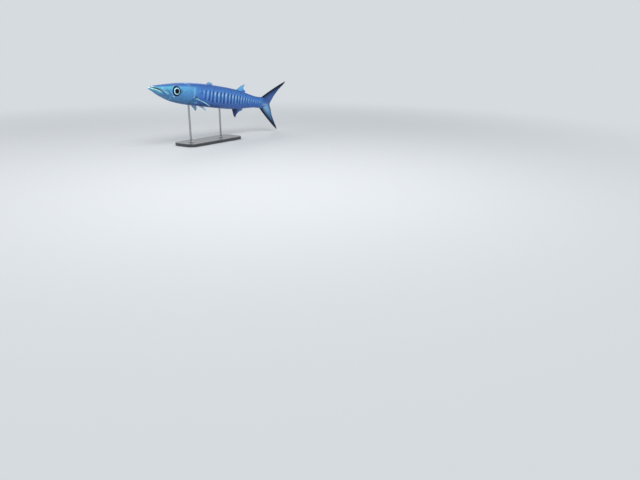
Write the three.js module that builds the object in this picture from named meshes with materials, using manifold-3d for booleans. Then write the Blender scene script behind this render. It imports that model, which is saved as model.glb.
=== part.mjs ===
// A life-size display model of a chevron-barred blackfin barracuda, held over a plain base by two rods.
// Millimetres, +Z up. The head points to -X and the fish's left side faces -Y.
// The origin is the centre of the base's underside.
// Stations run along the spine as shares of the standard length: 0 at the tip of the lower jaw, 1 at the
// root of the tail fin. Heights and half-widths beside the spine are shares of the same length.
import * as THREE from "three";
import { mergeVertices } from "three/addons/utils/BufferGeometryUtils.js";
import Module from "manifold-3d";

const wasm = await Module();
wasm.setup();

// Driving sizes
const STANDARD_LENGTH = 860;
const GAP = 0.3;
const RING_POINTS = 48;
const MERGE_DISTANCE = 1e-3;

// Pose: the spine's turn to the side in degrees at each station, the nose-up pitch, and the bank to the left
const TURN = [
  [0, 3],
  [0.32, 3],
  [0.62, 3.5],
  [0.9, -10],
  [1.2, -4],
];
const PITCH = 8.5;
const BANK = -7;
const ORIGIN_STATION = 0.475;
const SPINE_HEIGHT = 248;

// Body profiles: [station, distance from the spine]
const BACK = [
  [0, 0.002],
  [0.004, 0.0055],
  [0.01, 0.0075],
  [0.016, 0.01],
  [0.03, 0.0145],
  [0.05, 0.0185],
  [0.1, 0.0285],
  [0.15, 0.038],
  [0.19, 0.0455],
  [0.25, 0.0545],
  [0.325, 0.0615],
  [0.42, 0.067],
  [0.52, 0.069],
  [0.62, 0.0685],
  [0.72, 0.0655],
  [0.8, 0.0575],
  [0.87, 0.0455],
  [0.93, 0.037],
  [0.965, 0.0365],
  [0.99, 0.0395],
  [1.004, 0.037],
];
const BELLY = [
  [0, 0.003],
  [0.004, 0.008],
  [0.012, 0.012],
  [0.03, 0.0185],
  [0.06, 0.031],
  [0.1, 0.0445],
  [0.15, 0.0575],
  [0.19, 0.0645],
  [0.25, 0.069],
  [0.325, 0.071],
  [0.42, 0.071],
  [0.52, 0.0705],
  [0.62, 0.0695],
  [0.72, 0.0665],
  [0.8, 0.059],
  [0.87, 0.047],
  [0.93, 0.0395],
  [0.965, 0.0392],
  [0.99, 0.0425],
  [1.004, 0.04],
];
const SIDE = [
  [0, 0.002],
  [0.004, 0.0052],
  [0.016, 0.0095],
  [0.05, 0.0165],
  [0.1, 0.0245],
  [0.15, 0.032],
  [0.19, 0.038],
  [0.25, 0.0435],
  [0.325, 0.0475],
  [0.42, 0.0495],
  [0.52, 0.05],
  [0.62, 0.048],
  [0.72, 0.0425],
  [0.8, 0.035],
  [0.87, 0.027],
  [0.93, 0.0195],
  [0.965, 0.014],
  [0.995, 0.0065],
  [1.004, 0.0036],
];
const FULLNESS = 0.92;
const RINGS = [
  0, 0.004, 0.01, 0.018, 0.03, 0.045, 0.062, 0.08, 0.1, 0.122, 0.145, 0.167, 0.19, 0.212, 0.236, 0.262, 0.288, 0.314,
  0.342, 0.375, 0.41, 0.45, 0.49, 0.53, 0.575, 0.615, 0.655, 0.69, 0.725, 0.755, 0.785, 0.815, 0.85, 0.88, 0.91,
  0.94, 0.965, 0.985, 0.997, 1.004,
];

// Where the body is parted into named lengths
const HEAD_END = 0.3;
const TORSO_END = 0.555;
const TAIL_END = 0.833;

// Mouth: [station, height] of the middle of the gape, and the gape's height along it
const GAPE_LINE = [
  [-0.02, 0.0075],
  [0.008, 0.0065],
  [0.018, 0.0047],
  [0.033, 0.0035],
  [0.051, 0.0012],
  [0.072, -0.0048],
  [0.092, -0.0128],
  [0.106, -0.0205],
  [0.118, -0.028],
];
const GAPE_HEIGHT = [
  [-0.02, 0.0042],
  [0.014, 0.0044],
  [0.034, 0.0052],
  [0.075, 0.0036],
  [0.118, 0.0005],
];
const JAW_HINGE_LINE = [
  [0.138, -0.0395],
  [0.158, -0.052],
  [0.172, -0.07],
  [0.178, -0.1],
];
const GAPE_STEPS = 11;

// Lips: raised bands along both edges of the gape, between two stations
const LIP = { first: 0.02, last: 0.116, width: 4.2, raise: 0.9, depth: 2, steps: 6 };

// Teeth: the first and last station, the number on each side, the base radius, the share of the gape that
// they reach, how far in from the lip and how deep in the jaw they stand, and how their lengths alternate
const TEETH = { first: 0.024, last: 0.082, count: 9, radius: 1.2, reach: 0.78, inset: 2.4, sink: 1.6, sides: 6 };
const TOOTH_LENGTHS = [1, 0.7, 0.85];

// Head plates, as outlines [station, height], with how far they stand up
const MAXILLA = {
  raise: 1.3,
  depth: 2,
  points: 24,
  outline: [
    [0.05, 0.0055],
    [0.085, 0.0005],
    [0.115, -0.007],
    [0.135, -0.0125],
    [0.15, -0.022],
    [0.1585, -0.036],
    [0.1565, -0.0465],
    [0.148, -0.0435],
    [0.1385, -0.0378],
    [0.121, -0.0275],
    [0.107, -0.0193],
    [0.092, -0.0111],
    [0.073, -0.0038],
    [0.05, 0.0012],
  ],
};
const GILL_COVER = {
  raise: 1.6,
  depth: 3,
  points: 32,
  outline: [
    [0.2345, 0.0285],
    [0.2595, 0.0435],
    [0.286, 0.0495],
    [0.3015, 0.0345],
    [0.3125, 0.0125],
    [0.3225, -0.0085],
    [0.3145, -0.0285],
    [0.2925, -0.0475],
    [0.2615, -0.059],
    [0.238, -0.0475],
    [0.229, -0.0235],
    [0.229, 0.0035],
  ],
};

// Eyes and nostrils
const EYE = { station: 0.182, height: 0.0035, radius: 21, bulge: 9.5, sunk: 4.6, forward: 9, up: 5, around: 22 };
const NOSTRIL = { stations: [0.146, 0.1525], height: 0.0165, radius: 1.5, depth: 2.4, sides: 8 };

// Fins. root and margin give [share from the leading ray, station, half-width, height]. flare bows a paired
// fin away from the body, and bow lifts the leading edge of the tail fin's lobes.
const MEMBRANE = 0.8;
const FINS = {
  fin_dorsal_first: {
    rays: 5,
    rows: 4,
    ridge: 1.3,
    notch: 0.3,
    root: [
      [0, 0.445, 0, 0.0595],
      [1, 0.498, 0, 0.0615],
    ],
    margin: [
      [0, 0.476, 0, 0.0862],
      [0.25, 0.489, 0, 0.0848],
      [0.5, 0.5, 0, 0.0825],
      [0.75, 0.509, 0, 0.0795],
      [1, 0.517, 0, 0.076],
    ],
  },
  fin_dorsal_second: {
    rays: 10,
    rows: 6,
    ridge: 0.9,
    notch: 0.03,
    root: [
      [0, 0.733, 0, 0.055],
      [1, 0.817, 0, 0.046],
    ],
    margin: [
      [0, 0.79, 0, 0.0945],
      [0.11, 0.8185, 0, 0.1072],
      [0.3, 0.812, 0, 0.093],
      [0.5, 0.809, 0, 0.0825],
      [0.75, 0.815, 0, 0.072],
      [1, 0.833, 0, 0.0615],
    ],
  },
  fin_anal: {
    rays: 10,
    rows: 6,
    ridge: 0.9,
    notch: 0.03,
    root: [
      [0, 0.728, 0, -0.057],
      [1, 0.815, 0, -0.047],
    ],
    margin: [
      [0, 0.756, 0, -0.106],
      [0.11, 0.7725, 0, -0.1202],
      [0.3, 0.779, 0, -0.103],
      [0.5, 0.787, 0, -0.09],
      [0.75, 0.802, 0, -0.0768],
      [1, 0.83, 0, -0.065],
    ],
  },
  fin_caudal_upper: {
    rays: 10,
    rows: 8,
    ridge: 1,
    notch: 0.012,
    rootThickness: 4.8,
    bow: 0.0065,
    root: [
      [0, 0.968, 0, 0.03],
      [0.2, 0.985, 0, 0.03],
      [1, 0.99, 0, 0.0004],
    ],
    margin: [
      [0, 1.182, 0.002, 0.17],
      [0.12, 1.177, 0.002, 0.158],
      [0.35, 1.131, 0.001, 0.108],
      [0.6, 1.098, 0, 0.065],
      [0.82, 1.079, 0, 0.031],
      [1, 1.064, 0, 0.0006],
    ],
  },
  fin_caudal_lower: {
    rays: 9,
    rows: 8,
    ridge: 1,
    notch: 0.012,
    rootThickness: 4.8,
    bow: 0.0065,
    root: [
      [0, 0.968, 0, -0.033],
      [0.2, 0.985, 0, -0.033],
      [1, 0.99, 0, -0.0004],
    ],
    margin: [
      [0, 1.171, 0.007, -0.177],
      [0.12, 1.166, 0.0065, -0.1645],
      [0.35, 1.126, 0.0035, -0.1125],
      [0.6, 1.096, 0.001, -0.067],
      [0.82, 1.08, 0, -0.0325],
      [1, 1.064, 0, -0.0006],
    ],
  },
};

// The left fins are held out, the right pectoral is lowered and the right pelvic is folded.
const PECTORAL = {
  rays: 13,
  rows: 6,
  ridge: 0.8,
  notch: 0.02,
  rootThickness: 3,
  flare: 0.0035,
  root: [
    [0, 0.3205, 0.041, -0.0135],
    [1, 0.329, 0.04, -0.029],
  ],
};
const PELVIC = {
  rays: 6,
  rows: 5,
  ridge: 0.8,
  notch: 0.03,
  rootThickness: 2.5,
  root: [
    [0, 0.399, 0.0125, -0.064],
    [1, 0.411, 0.0075, -0.066],
  ],
};
const PAIRED_FINS = {
  fin_pectoral_left: {
    ...PECTORAL,
    side: 1,
    margin: [
      [0, 0.436, 0.0785, -0.0592],
      [0.3, 0.4375, 0.066, -0.0555],
      [0.65, 0.428, 0.0535, -0.0485],
      [1, 0.404, 0.05, -0.0405],
    ],
  },
  fin_pectoral_right: {
    ...PECTORAL,
    side: -1,
    flare: 0.007,
    margin: [
      [0, 0.4375, 0.0405, -0.1068],
      [0.35, 0.4475, 0.0415, -0.0905],
      [0.7, 0.436, 0.0445, -0.0705],
      [1, 0.408, 0.0485, -0.052],
    ],
  },
  fin_pelvic_left: {
    ...PELVIC,
    side: 1,
    margin: [
      [0, 0.454, 0.03, -0.095],
      [0.35, 0.456, 0.0235, -0.084],
      [1, 0.452, 0.0105, -0.0742],
    ],
  },
  fin_pelvic_right: {
    ...PELVIC,
    side: -1,
    margin: [
      [0, 0.454, 0.019, -0.0785],
      [0.35, 0.452, 0.013, -0.078],
      [1, 0.443, 0.0065, -0.0775],
    ],
  },
};

// Stand
const BASE = { length: 400, width: 150, thickness: 16, corner: 40, bevel: 2 };
const ROD = { stations: [0.317, 0.6], radius: 5, flangeRadius: 13, flangeHeight: 4, sides: 20 };

const COLOURS = {
  skin: { color: "#4a82c8", roughness: 0.35, metalness: 0.35 },
  jaw: { color: "#6fb4dc", roughness: 0.35, metalness: 0.3 },
  eye: { color: "#10141a", roughness: 0.08, metalness: 0 },
  fin: { color: "#2a4378", roughness: 0.5, metalness: 0.1 },
  pale_fin: { color: "#82bfe8", roughness: 0.5, metalness: 0.1 },
  base: { color: "#2b2e33", roughness: 0.45, metalness: 0 },
  rod: { color: "#9a9ea3", roughness: 0.3, metalness: 1 },
};

// A smooth curve through [x, y] points that never overshoots them (a monotone cubic).
function curve(points) {
  const xs = points.map((p) => p[0]);
  const ys = points.map((p) => p[1]);
  const steps = xs.slice(1).map((x, i) => x - xs[i]);
  const slopes = steps.map((step, i) => (ys[i + 1] - ys[i]) / step);
  const last = xs.length - 1;
  const bends = xs.map((_, i) => {
    if (i === 0) return slopes[0];
    if (i === last) return slopes[last - 1];
    if (slopes[i - 1] * slopes[i] <= 0) return 0;
    const before = 2 * steps[i] + steps[i - 1];
    const after = steps[i] + 2 * steps[i - 1];
    return (before + after) / (before / slopes[i - 1] + after / slopes[i]);
  });
  return (x) => {
    const at = Math.min(Math.max(x, xs[0]), xs[last]);
    let i = 0;
    while (i < last - 1 && at > xs[i + 1]) i += 1;
    const u = (at - xs[i]) / steps[i];
    const v = 1 - u;
    return (
      ys[i] * (1 + 2 * u) * v * v +
      bends[i] * steps[i] * u * v * v +
      ys[i + 1] * u * u * (3 - 2 * u) -
      bends[i + 1] * steps[i] * u * u * v
    );
  };
}

// Several curves at once: rows are [x, a, b, ...] and the result gives [a, b, ...] at x.
function curves(rows) {
  const made = rows[0].slice(1).map((_, k) => curve(rows.map((row) => [row[0], row[k + 1]])));
  return (x) => made.map((f) => f(x));
}

// The spine: its directions at a station, and its place, which is summed in short steps.
const SPINE_STEP = 0.002;
const SPINE_START = -0.04;
const SPINE_END = 1.24;
const turnAt = curve(TURN);
const radians = THREE.MathUtils.degToRad;

function directionsAt(station) {
  const turn = radians(turnAt(station));
  const pitch = radians(PITCH);
  const bank = radians(BANK);
  const back = new THREE.Vector3(
    Math.cos(pitch) * Math.cos(turn),
    Math.cos(pitch) * Math.sin(turn),
    -Math.sin(pitch),
  );
  const level = new THREE.Vector3(Math.sin(turn), -Math.cos(turn), 0);
  const upright = level.clone().cross(back);
  const left = level.clone().multiplyScalar(Math.cos(bank)).addScaledVector(upright, Math.sin(bank));
  const up = upright.clone().multiplyScalar(Math.cos(bank)).addScaledVector(level, -Math.sin(bank));
  return { back, left, up };
}

function sumSpine() {
  const places = [new THREE.Vector3()];
  const count = Math.round((SPINE_END - SPINE_START) / SPINE_STEP);
  for (let i = 0; i < count; i += 1) {
    const middle = SPINE_START + (i + 0.5) * SPINE_STEP;
    const step = directionsAt(middle).back.multiplyScalar(SPINE_STEP * STANDARD_LENGTH);
    places.push(places[i].clone().add(step));
  }
  return places;
}

const spinePlaces = sumSpine();

function summedPlace(station) {
  const t = Math.min(Math.max((station - SPINE_START) / SPINE_STEP, 0), spinePlaces.length - 1.001);
  const i = Math.floor(t);
  return spinePlaces[i].clone().lerp(spinePlaces[i + 1], t - i);
}

const spineShift = new THREE.Vector3(0, 0, SPINE_HEIGHT).sub(summedPlace(ORIGIN_STATION));

function frameAt(station) {
  return { origin: summedPlace(station).add(spineShift), ...directionsAt(station) };
}

// The point at a station, so far to the left of the spine and so far above it, as shares of the length.
function place(station, left, up) {
  const frame = frameAt(station);
  return frame.origin
    .addScaledVector(frame.left, left * STANDARD_LENGTH)
    .addScaledVector(frame.up, up * STANDARD_LENGTH);
}

const backAt = curve(BACK);
const bellyAt = curve(BELLY);
const sideAt = curve(SIDE);

// Half-width of the body at a height beside the spine.
function halfWidthAt(station, height) {
  const reach = height > 0 ? backAt(station) : bellyAt(station);
  const share = Math.min(Math.abs(height) / reach, 1) ** (1 / FULLNESS);
  return sideAt(station) * Math.sqrt(1 - share * share) ** FULLNESS;
}

// A point of the skin. The angle runs from the back over the left side to the belly; grow is in millimetres.
function skinPoint(station, angle, grow = 0) {
  const cosine = Math.cos(angle);
  const sine = Math.sin(angle);
  const reach = cosine > 0 ? backAt(station) : bellyAt(station);
  const height = reach * Math.sign(cosine) * Math.abs(cosine) ** FULLNESS;
  const width = sideAt(station) * Math.sign(sine) * Math.abs(sine) ** FULLNESS;
  const away = new THREE.Vector2(width / sideAt(station) ** 2, height / reach ** 2).normalize();
  const more = grow / STANDARD_LENGTH;
  return place(station, width + away.x * more, height + away.y * more);
}

// A closed mesh from a list of vertices and triangles.
function meshOf(points, triangles) {
  const geometry = new THREE.BufferGeometry().setFromPoints(points);
  geometry.setIndex(triangles);
  return geometry;
}

// A closed mesh through rings of points, with a fan over each end.
function loft(rings) {
  const size = rings[0].length;
  const points = rings.flat();
  const triangles = [];
  for (let r = 0; r + 1 < rings.length; r += 1) {
    for (let i = 0; i < size; i += 1) {
      const a = r * size + i;
      const b = r * size + ((i + 1) % size);
      triangles.push(a, b, a + size, b, b + size, a + size);
    }
  }
  const ends = [
    [0, false],
    [(rings.length - 1) * size, true],
  ];
  for (const [first, far] of ends) {
    const centre = points.length;
    const middle = new THREE.Vector3();
    for (let i = 0; i < size; i += 1) middle.add(points[first + i]);
    points.push(middle.divideScalar(size));
    for (let i = 0; i < size; i += 1) {
      const a = first + i;
      const b = first + ((i + 1) % size);
      triangles.push(...(far ? [centre, a, b] : [centre, b, a]));
    }
  }
  return meshOf(points, triangles);
}

// Solids for cutting and joining, and back to geometry.
function solid(geometry) {
  const bare = geometry.index ? geometry.toNonIndexed() : geometry.clone();
  bare.deleteAttribute("normal");
  bare.deleteAttribute("uv");
  const merged = mergeVertices(bare, MERGE_DISTANCE);
  const vertProperties = new Float32Array(merged.attributes.position.array);
  const triVerts = new Uint32Array(merged.index.array);
  const made = new wasm.Manifold(new wasm.Mesh({ numProp: 3, vertProperties, triVerts }));
  if (made.volume() > 0) return made;
  for (let i = 0; i < triVerts.length; i += 3) {
    [triVerts[i + 1], triVerts[i + 2]] = [triVerts[i + 2], triVerts[i + 1]];
  }
  return new wasm.Manifold(new wasm.Mesh({ numProp: 3, vertProperties, triVerts }));
}

function largest(shape) {
  return shape.decompose().reduce((best, piece) => (piece.volume() > best.volume() ? piece : best));
}

function geometryOf(shape) {
  const mesh = shape.getMesh();
  const geometry = new THREE.BufferGeometry();
  geometry.setAttribute("position", new THREE.BufferAttribute(new Float32Array(mesh.vertProperties), mesh.numProp));
  geometry.setIndex(new THREE.BufferAttribute(new Uint32Array(mesh.triVerts), 1));
  geometry.computeVertexNormals();
  return geometry;
}

// The whole body, grown outwards by so many millimetres.
function bodySolid(grow) {
  const angles = Array.from({ length: RING_POINTS }, (_, i) => (i * 2 * Math.PI) / RING_POINTS);
  return solid(loft(RINGS.map((station) => angles.map((angle) => skinPoint(station, angle, grow)))));
}

// Cuts a shape to what lies between two stations, with half a gap off each cut face.
function between(shape, from, to) {
  let cut = shape;
  if (from !== null) {
    const { origin, back } = frameAt(from);
    cut = cut.trimByPlane(back.toArray(), back.dot(origin) + GAP / 2);
  }
  if (to !== null) {
    const { origin, back } = frameAt(to);
    cut = cut.trimByPlane(back.clone().negate().toArray(), -back.dot(origin) + GAP / 2);
  }
  return cut;
}

// A prism with an outline given in stations and heights, from one distance beside the spine to another.
function sidePrism(outline, from, to) {
  const rings = [from, to].map((width) =>
    outline.map(([station, height]) => place(station, width / STANDARD_LENGTH, height)),
  );
  const count = outline.length;
  const flat = outline.map(([station, height]) => new THREE.Vector2(station, height));
  const faces = THREE.ShapeUtils.triangulateShape(flat, []);
  const triangles = [];
  for (const [a, b, c] of faces) triangles.push(a, b, c, count + a, count + c, count + b);
  const anticlockwise = !THREE.ShapeUtils.isClockWise(flat);
  for (let i = 0; i < count; i += 1) {
    const a = i;
    const b = (i + 1) % count;
    const wall = [a, count + a, b, b, count + a, count + b];
    triangles.push(...(anticlockwise ? wall : wall.reverse()));
  }
  return solid(meshOf(rings.flat(), triangles));
}

// An outline moved outwards by so many millimetres, corner by corner.
function widened(outline, distance) {
  const share = distance / STANDARD_LENGTH;
  const flat = outline.map(([station, height]) => new THREE.Vector2(station, height));
  const turn = THREE.ShapeUtils.isClockWise(flat) ? -1 : 1;
  return flat.map((point, i) => {
    const before = flat[(i + flat.length - 1) % flat.length];
    const after = flat[(i + 1) % flat.length];
    const along = after.clone().sub(before).normalize();
    return [point.x + along.y * share * turn, point.y - along.x * share * turn];
  });
}

// Mouth
const gapeMiddleAt = curve(GAPE_LINE);
const gapeHeightAt = curve(GAPE_HEIGHT);
const JAW_SPAN = 90;
const [GAPE_FRONT] = GAPE_LINE[0];
const [GAPE_CORNER] = GAPE_LINE[GAPE_LINE.length - 1];

// The space between the jaws, and the thin cut from the corner of the mouth down to the throat.
function mouthCut() {
  const slot = (GAP / 2 / STANDARD_LENGTH) * 1.3;
  const upper = [];
  const lower = [];
  for (let i = 0; i <= GAPE_STEPS; i += 1) {
    const station = GAPE_FRONT + ((GAPE_CORNER - GAPE_FRONT) * i) / GAPE_STEPS;
    const half = Math.max(gapeHeightAt(station) / 2, slot);
    upper.push([station, gapeMiddleAt(station) + half]);
    lower.push([station, gapeMiddleAt(station) - half]);
  }
  for (const [station, height] of JAW_HINGE_LINE) {
    upper.push([station + slot, height + slot]);
    lower.push([station - slot, height - slot]);
  }
  return sidePrism([...upper, ...lower.reverse()], -JAW_SPAN, JAW_SPAN);
}

// Everything in front of and below the mouth cut, to part the lower jaw from the head.
function jawSide() {
  const line = [];
  for (let i = 0; i <= GAPE_STEPS; i += 1) {
    const station = GAPE_FRONT + ((GAPE_CORNER - GAPE_FRONT) * i) / GAPE_STEPS;
    line.push([station, gapeMiddleAt(station)]);
  }
  const below = [
    [JAW_HINGE_LINE[JAW_HINGE_LINE.length - 1][0], -0.13],
    [GAPE_FRONT, -0.13],
  ];
  return sidePrism([...line, ...JAW_HINGE_LINE, ...below], -JAW_SPAN, JAW_SPAN);
}

// The outline of a lip: the band beside the gape. direction is 1 for the lower lip and -1 for the upper one.
function lipOutline(direction) {
  const edge = [];
  const far = [];
  for (let i = 0; i <= LIP.steps; i += 1) {
    const station = LIP.first + ((LIP.last - LIP.first) * i) / LIP.steps;
    const height = gapeMiddleAt(station);
    const taper = 1 - 0.5 * (i / LIP.steps);
    edge.push([station, height]);
    far.push([station, height - direction * (gapeHeightAt(station) / 2 + (LIP.width * taper) / STANDARD_LENGTH)]);
  }
  return [...edge, ...far.reverse()];
}

// One tooth: a slender cone whose root is sunk in its jaw. side is 1 on the left and -1 on the right.
function tooth(station, side, direction, share) {
  const half = gapeHeightAt(station) / 2;
  const rootHeight = gapeMiddleAt(station) - direction * half;
  const inset = TEETH.inset / STANDARD_LENGTH;
  const width = (halfWidthAt(station, rootHeight) - inset) * side;
  const length = 2 * half * STANDARD_LENGTH * TEETH.reach * share;
  const cone = new THREE.ConeGeometry(TEETH.radius, length + TEETH.sink, TEETH.sides);
  cone.translate(0, (length + TEETH.sink) / 2 - TEETH.sink, 0);
  const { back, left, up } = frameAt(station);
  const axes = new THREE.Matrix4().makeBasis(back, up.clone().multiplyScalar(direction), left);
  cone.applyMatrix4(axes);
  const root = place(station, width, rootHeight);
  cone.translate(root.x, root.y, root.z);
  return solid(cone);
}

// The teeth of one jaw. direction is 1 for the lower jaw, whose teeth point up, and -1 for the upper jaw.
function teeth(direction) {
  const made = [];
  const step = (TEETH.last - TEETH.first) / (TEETH.count - 1);
  const shift = direction > 0 ? step / 2 : 0;
  for (let i = 0; i < TEETH.count; i += 1) {
    const share = TOOTH_LENGTHS[i % TOOTH_LENGTHS.length];
    for (const side of [1, -1]) made.push(tooth(TEETH.first + i * step + shift, side, direction, share));
  }
  return made;
}

// A plate that follows the skin inside an outline, on one side of the head.
function skinPlate(outline, side, outer, inner) {
  const reach = side > 0 ? [4, JAW_SPAN] : [-JAW_SPAN, -4];
  return sidePrism(outline, ...reach).intersect(outer).subtract(inner);
}

// A smooth closed outline through the given corners, with so many points.
function rounded(outline, count) {
  const corners = outline.map(([station, height]) => new THREE.Vector3(station, height, 0));
  const smooth = new THREE.CatmullRomCurve3(corners, true, "centripetal");
  return smooth.getPoints(count).slice(0, -1).map((point) => [point.x, point.y]);
}

// Turns a shape made round +Z so that +Z points out of the head at a station and height, on one side.
function outOfHead(station, height, side, forward = 0, up = 0) {
  const frame = frameAt(station);
  const out = frame.left
    .clone()
    .multiplyScalar(side)
    .addScaledVector(frame.back, -Math.tan(radians(forward)))
    .addScaledVector(frame.up, Math.tan(radians(up)))
    .normalize();
  const turn = new THREE.Quaternion().setFromUnitVectors(new THREE.Vector3(0, 0, 1), out);
  const centre = place(station, halfWidthAt(station, height) * side, height);
  return { turn, out, centre };
}

// The eyeball, flattened, its middle a little below the skin.
function eyeball(side, grow) {
  const { turn, out, centre } = outOfHead(EYE.station, EYE.height, side, EYE.forward, EYE.up);
  const ball = new THREE.SphereGeometry(1, EYE.around, Math.round(EYE.around / 2.5));
  ball.rotateX(Math.PI / 2);
  ball.scale(EYE.radius + grow, EYE.radius + grow, EYE.bulge + grow);
  ball.applyQuaternion(turn);
  const middle = centre.addScaledVector(out, -EYE.sunk);
  ball.translate(middle.x, middle.y, middle.z);
  return solid(ball);
}

function nostril(station, side) {
  const { turn, out, centre } = outOfHead(station, NOSTRIL.height, side, EYE.forward, EYE.up);
  const pit = new THREE.CylinderGeometry(NOSTRIL.radius, NOSTRIL.radius, 2 * NOSTRIL.depth, NOSTRIL.sides);
  pit.rotateX(Math.PI / 2);
  pit.applyQuaternion(turn);
  const middle = centre.addScaledVector(out, -NOSTRIL.depth / 4);
  pit.translate(middle.x, middle.y, middle.z);
  return solid(pit);
}

// A fin: a thin sheet between its root and its margin, raised along each ray on both faces. side is -1 for
// the right-hand fin of a pair. Both faces are split into triangles alike, so that they never cross.
function fin(shape) {
  const rootAt = curves(shape.root);
  const marginAt = curves(shape.margin);
  const columns = 2 * shape.rays - 1;
  const rootThickness = shape.rootThickness ?? 2;
  const pointAt = (u, v) => {
    const start = rootAt(u);
    const end = marginAt(u);
    const [station, left, up] = start.map((value, k) => value + (end[k] - value) * v);
    const arch = 4 * v * (1 - v);
    const bow = (shape.bow ?? 0) * arch * (1 - u) * Math.sign(up);
    const flare = (shape.flare ?? 0) * arch;
    return place(station, (left + flare) * (shape.side ?? 1), up + bow);
  };
  const front = [];
  const rear = [];
  for (let j = 0; j <= shape.rows; j += 1) {
    for (let i = 0; i < columns; i += 1) {
      const onRay = i % 2 === 0;
      const u = i / (columns - 1);
      const reach = onRay ? 1 : 1 - shape.notch;
      const v = (j / shape.rows) * reach;
      const across = pointAt(Math.min(u + 0.02, 1), v).sub(pointAt(Math.max(u - 0.02, 0), v));
      const along = pointAt(u, Math.min(v + 0.02, 1)).sub(pointAt(u, Math.max(v - 0.02, 0)));
      const normal = across.cross(along).normalize();
      const thin = MEMBRANE + (rootThickness - MEMBRANE) * (1 - v) ** 2;
      const lead = i === 0 ? 0.6 : 0;
      const half = (thin + (onRay ? (shape.ridge + lead) * (1 - 0.75 * v) : 0)) / 2;
      const middle = pointAt(u, v);
      front.push(middle.clone().addScaledVector(normal, half));
      rear.push(middle.clone().addScaledVector(normal, -half));
    }
  }
  const faces = front.length;
  const triangles = [];
  for (let j = 0; j < shape.rows; j += 1) {
    for (let i = 0; i + 1 < columns; i += 1) {
      const a = j * columns + i;
      const [b, c, d] = [a + 1, a + columns + 1, a + columns];
      triangles.push(a, b, c, a, c, d, faces + a, faces + c, faces + b, faces + a, faces + d, faces + c);
    }
  }
  const rim = [];
  for (let i = 0; i + 1 < columns; i += 1) rim.push(i);
  for (let j = 0; j < shape.rows; j += 1) rim.push(j * columns + columns - 1);
  for (let i = columns - 1; i > 0; i -= 1) rim.push(shape.rows * columns + i);
  for (let j = shape.rows; j > 0; j -= 1) rim.push(j * columns);
  rim.forEach((a, i) => {
    const b = rim[(i + 1) % rim.length];
    triangles.push(a, faces + a, b, b, faces + a, faces + b);
  });
  return solid(meshOf([...front, ...rear], triangles));
}

// Stand
function basePlate() {
  const half = new THREE.Vector2(BASE.length / 2 - BASE.bevel, BASE.width / 2 - BASE.bevel);
  const corner = BASE.corner - BASE.bevel;
  const outline = new THREE.Shape();
  outline.absarc(half.x - corner, half.y - corner, corner, 0, Math.PI / 2);
  outline.absarc(-half.x + corner, half.y - corner, corner, Math.PI / 2, Math.PI);
  outline.absarc(-half.x + corner, -half.y + corner, corner, Math.PI, 1.5 * Math.PI);
  outline.absarc(half.x - corner, -half.y + corner, corner, 1.5 * Math.PI, 2 * Math.PI);
  const plate = new THREE.ExtrudeGeometry(outline, {
    depth: BASE.thickness - 2 * BASE.bevel,
    bevelEnabled: true,
    bevelSize: BASE.bevel,
    bevelThickness: BASE.bevel,
    bevelSegments: 1,
    curveSegments: 7,
  });
  plate.translate(0, 0, BASE.bevel);
  return solid(plate);
}

function rod(station) {
  const top = place(station, 0, -bellyAt(station) / 2);
  const height = top.z - BASE.thickness - GAP;
  const profile = [
    [0, 0],
    [ROD.flangeRadius, 0],
    [ROD.flangeRadius, ROD.flangeHeight * 0.6],
    [ROD.flangeRadius * 0.8, ROD.flangeHeight],
    [ROD.radius, ROD.flangeHeight],
    [ROD.radius, height],
    [0, height],
  ].map(([x, y]) => new THREE.Vector2(x, y));
  const turned = new THREE.LatheGeometry(profile, ROD.sides);
  turned.rotateX(Math.PI / 2);
  turned.translate(top.x, top.y, BASE.thickness + GAP);
  return solid(turned);
}

// Assembly
const body = bodySolid(0);
const nearBody = bodySolid(GAP);
const group = new THREE.Group();

// A node keeps the largest closed body that is left once points that all but touch are merged.
function addNode(name, shape, colour) {
  const kept = largest(solid(geometryOf(largest(shape))));
  const mesh = new THREE.Mesh(geometryOf(kept), new THREE.MeshStandardMaterial(COLOURS[colour]));
  mesh.name = name;
  group.add(mesh);
}

const sides = [
  ["left", 1],
  ["right", -1],
];
const plateOuter = bodySolid(MAXILLA.raise);
const lipOuter = bodySolid(LIP.raise);
const plateInner = bodySolid(-MAXILLA.depth);
const coverOuter = bodySolid(GILL_COVER.raise);
const coverInner = bodySolid(-GILL_COVER.depth);
const recessFloor = bodySolid(-GILL_COVER.depth - GAP);
const openSpace = bodySolid(4 * GILL_COVER.raise);
const maxilla = rounded(MAXILLA.outline, MAXILLA.points);
const cover = rounded(GILL_COVER.outline, GILL_COVER.points);
const recess = widened(cover, GAP);

const jawPart = jawSide();
const mouth = mouthCut();
const whole = between(body, null, HEAD_END);
let lowerJaw = whole.intersect(jawPart);
let head = whole.subtract(jawPart);
for (const [, side] of sides) {
  lowerJaw = lowerJaw.add(skinPlate(lipOutline(1), side, lipOuter, plateInner));
  head = head.add(skinPlate(maxilla, side, plateOuter, plateInner));
  head = head.add(skinPlate(lipOutline(-1), side, lipOuter, plateInner));
}
lowerJaw = lowerJaw.subtract(mouth);
head = head.subtract(mouth);
let torso = between(body, HEAD_END, TORSO_END);
for (const [name, side] of sides) {
  const hollow = skinPlate(recess, side, openSpace, recessFloor);
  head = head.subtract(hollow).subtract(eyeball(side, GAP));
  torso = torso.subtract(hollow);
  for (const station of NOSTRIL.stations) head = head.subtract(nostril(station, side));
  addNode(`gill_cover_${name}`, skinPlate(cover, side, coverOuter, coverInner), "skin");
  addNode(`eye_${name}`, eyeball(side, 0), "eye");
}
addNode("head", wasm.Manifold.union([largest(head), ...teeth(-1)]), "skin");
addNode("lower_jaw", wasm.Manifold.union([largest(lowerJaw), ...teeth(1)]), "jaw");
addNode("torso", torso, "skin");
addNode("tail", between(body, TORSO_END, TAIL_END), "skin");
addNode("tail_stalk", between(body, TAIL_END, null), "skin");

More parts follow.
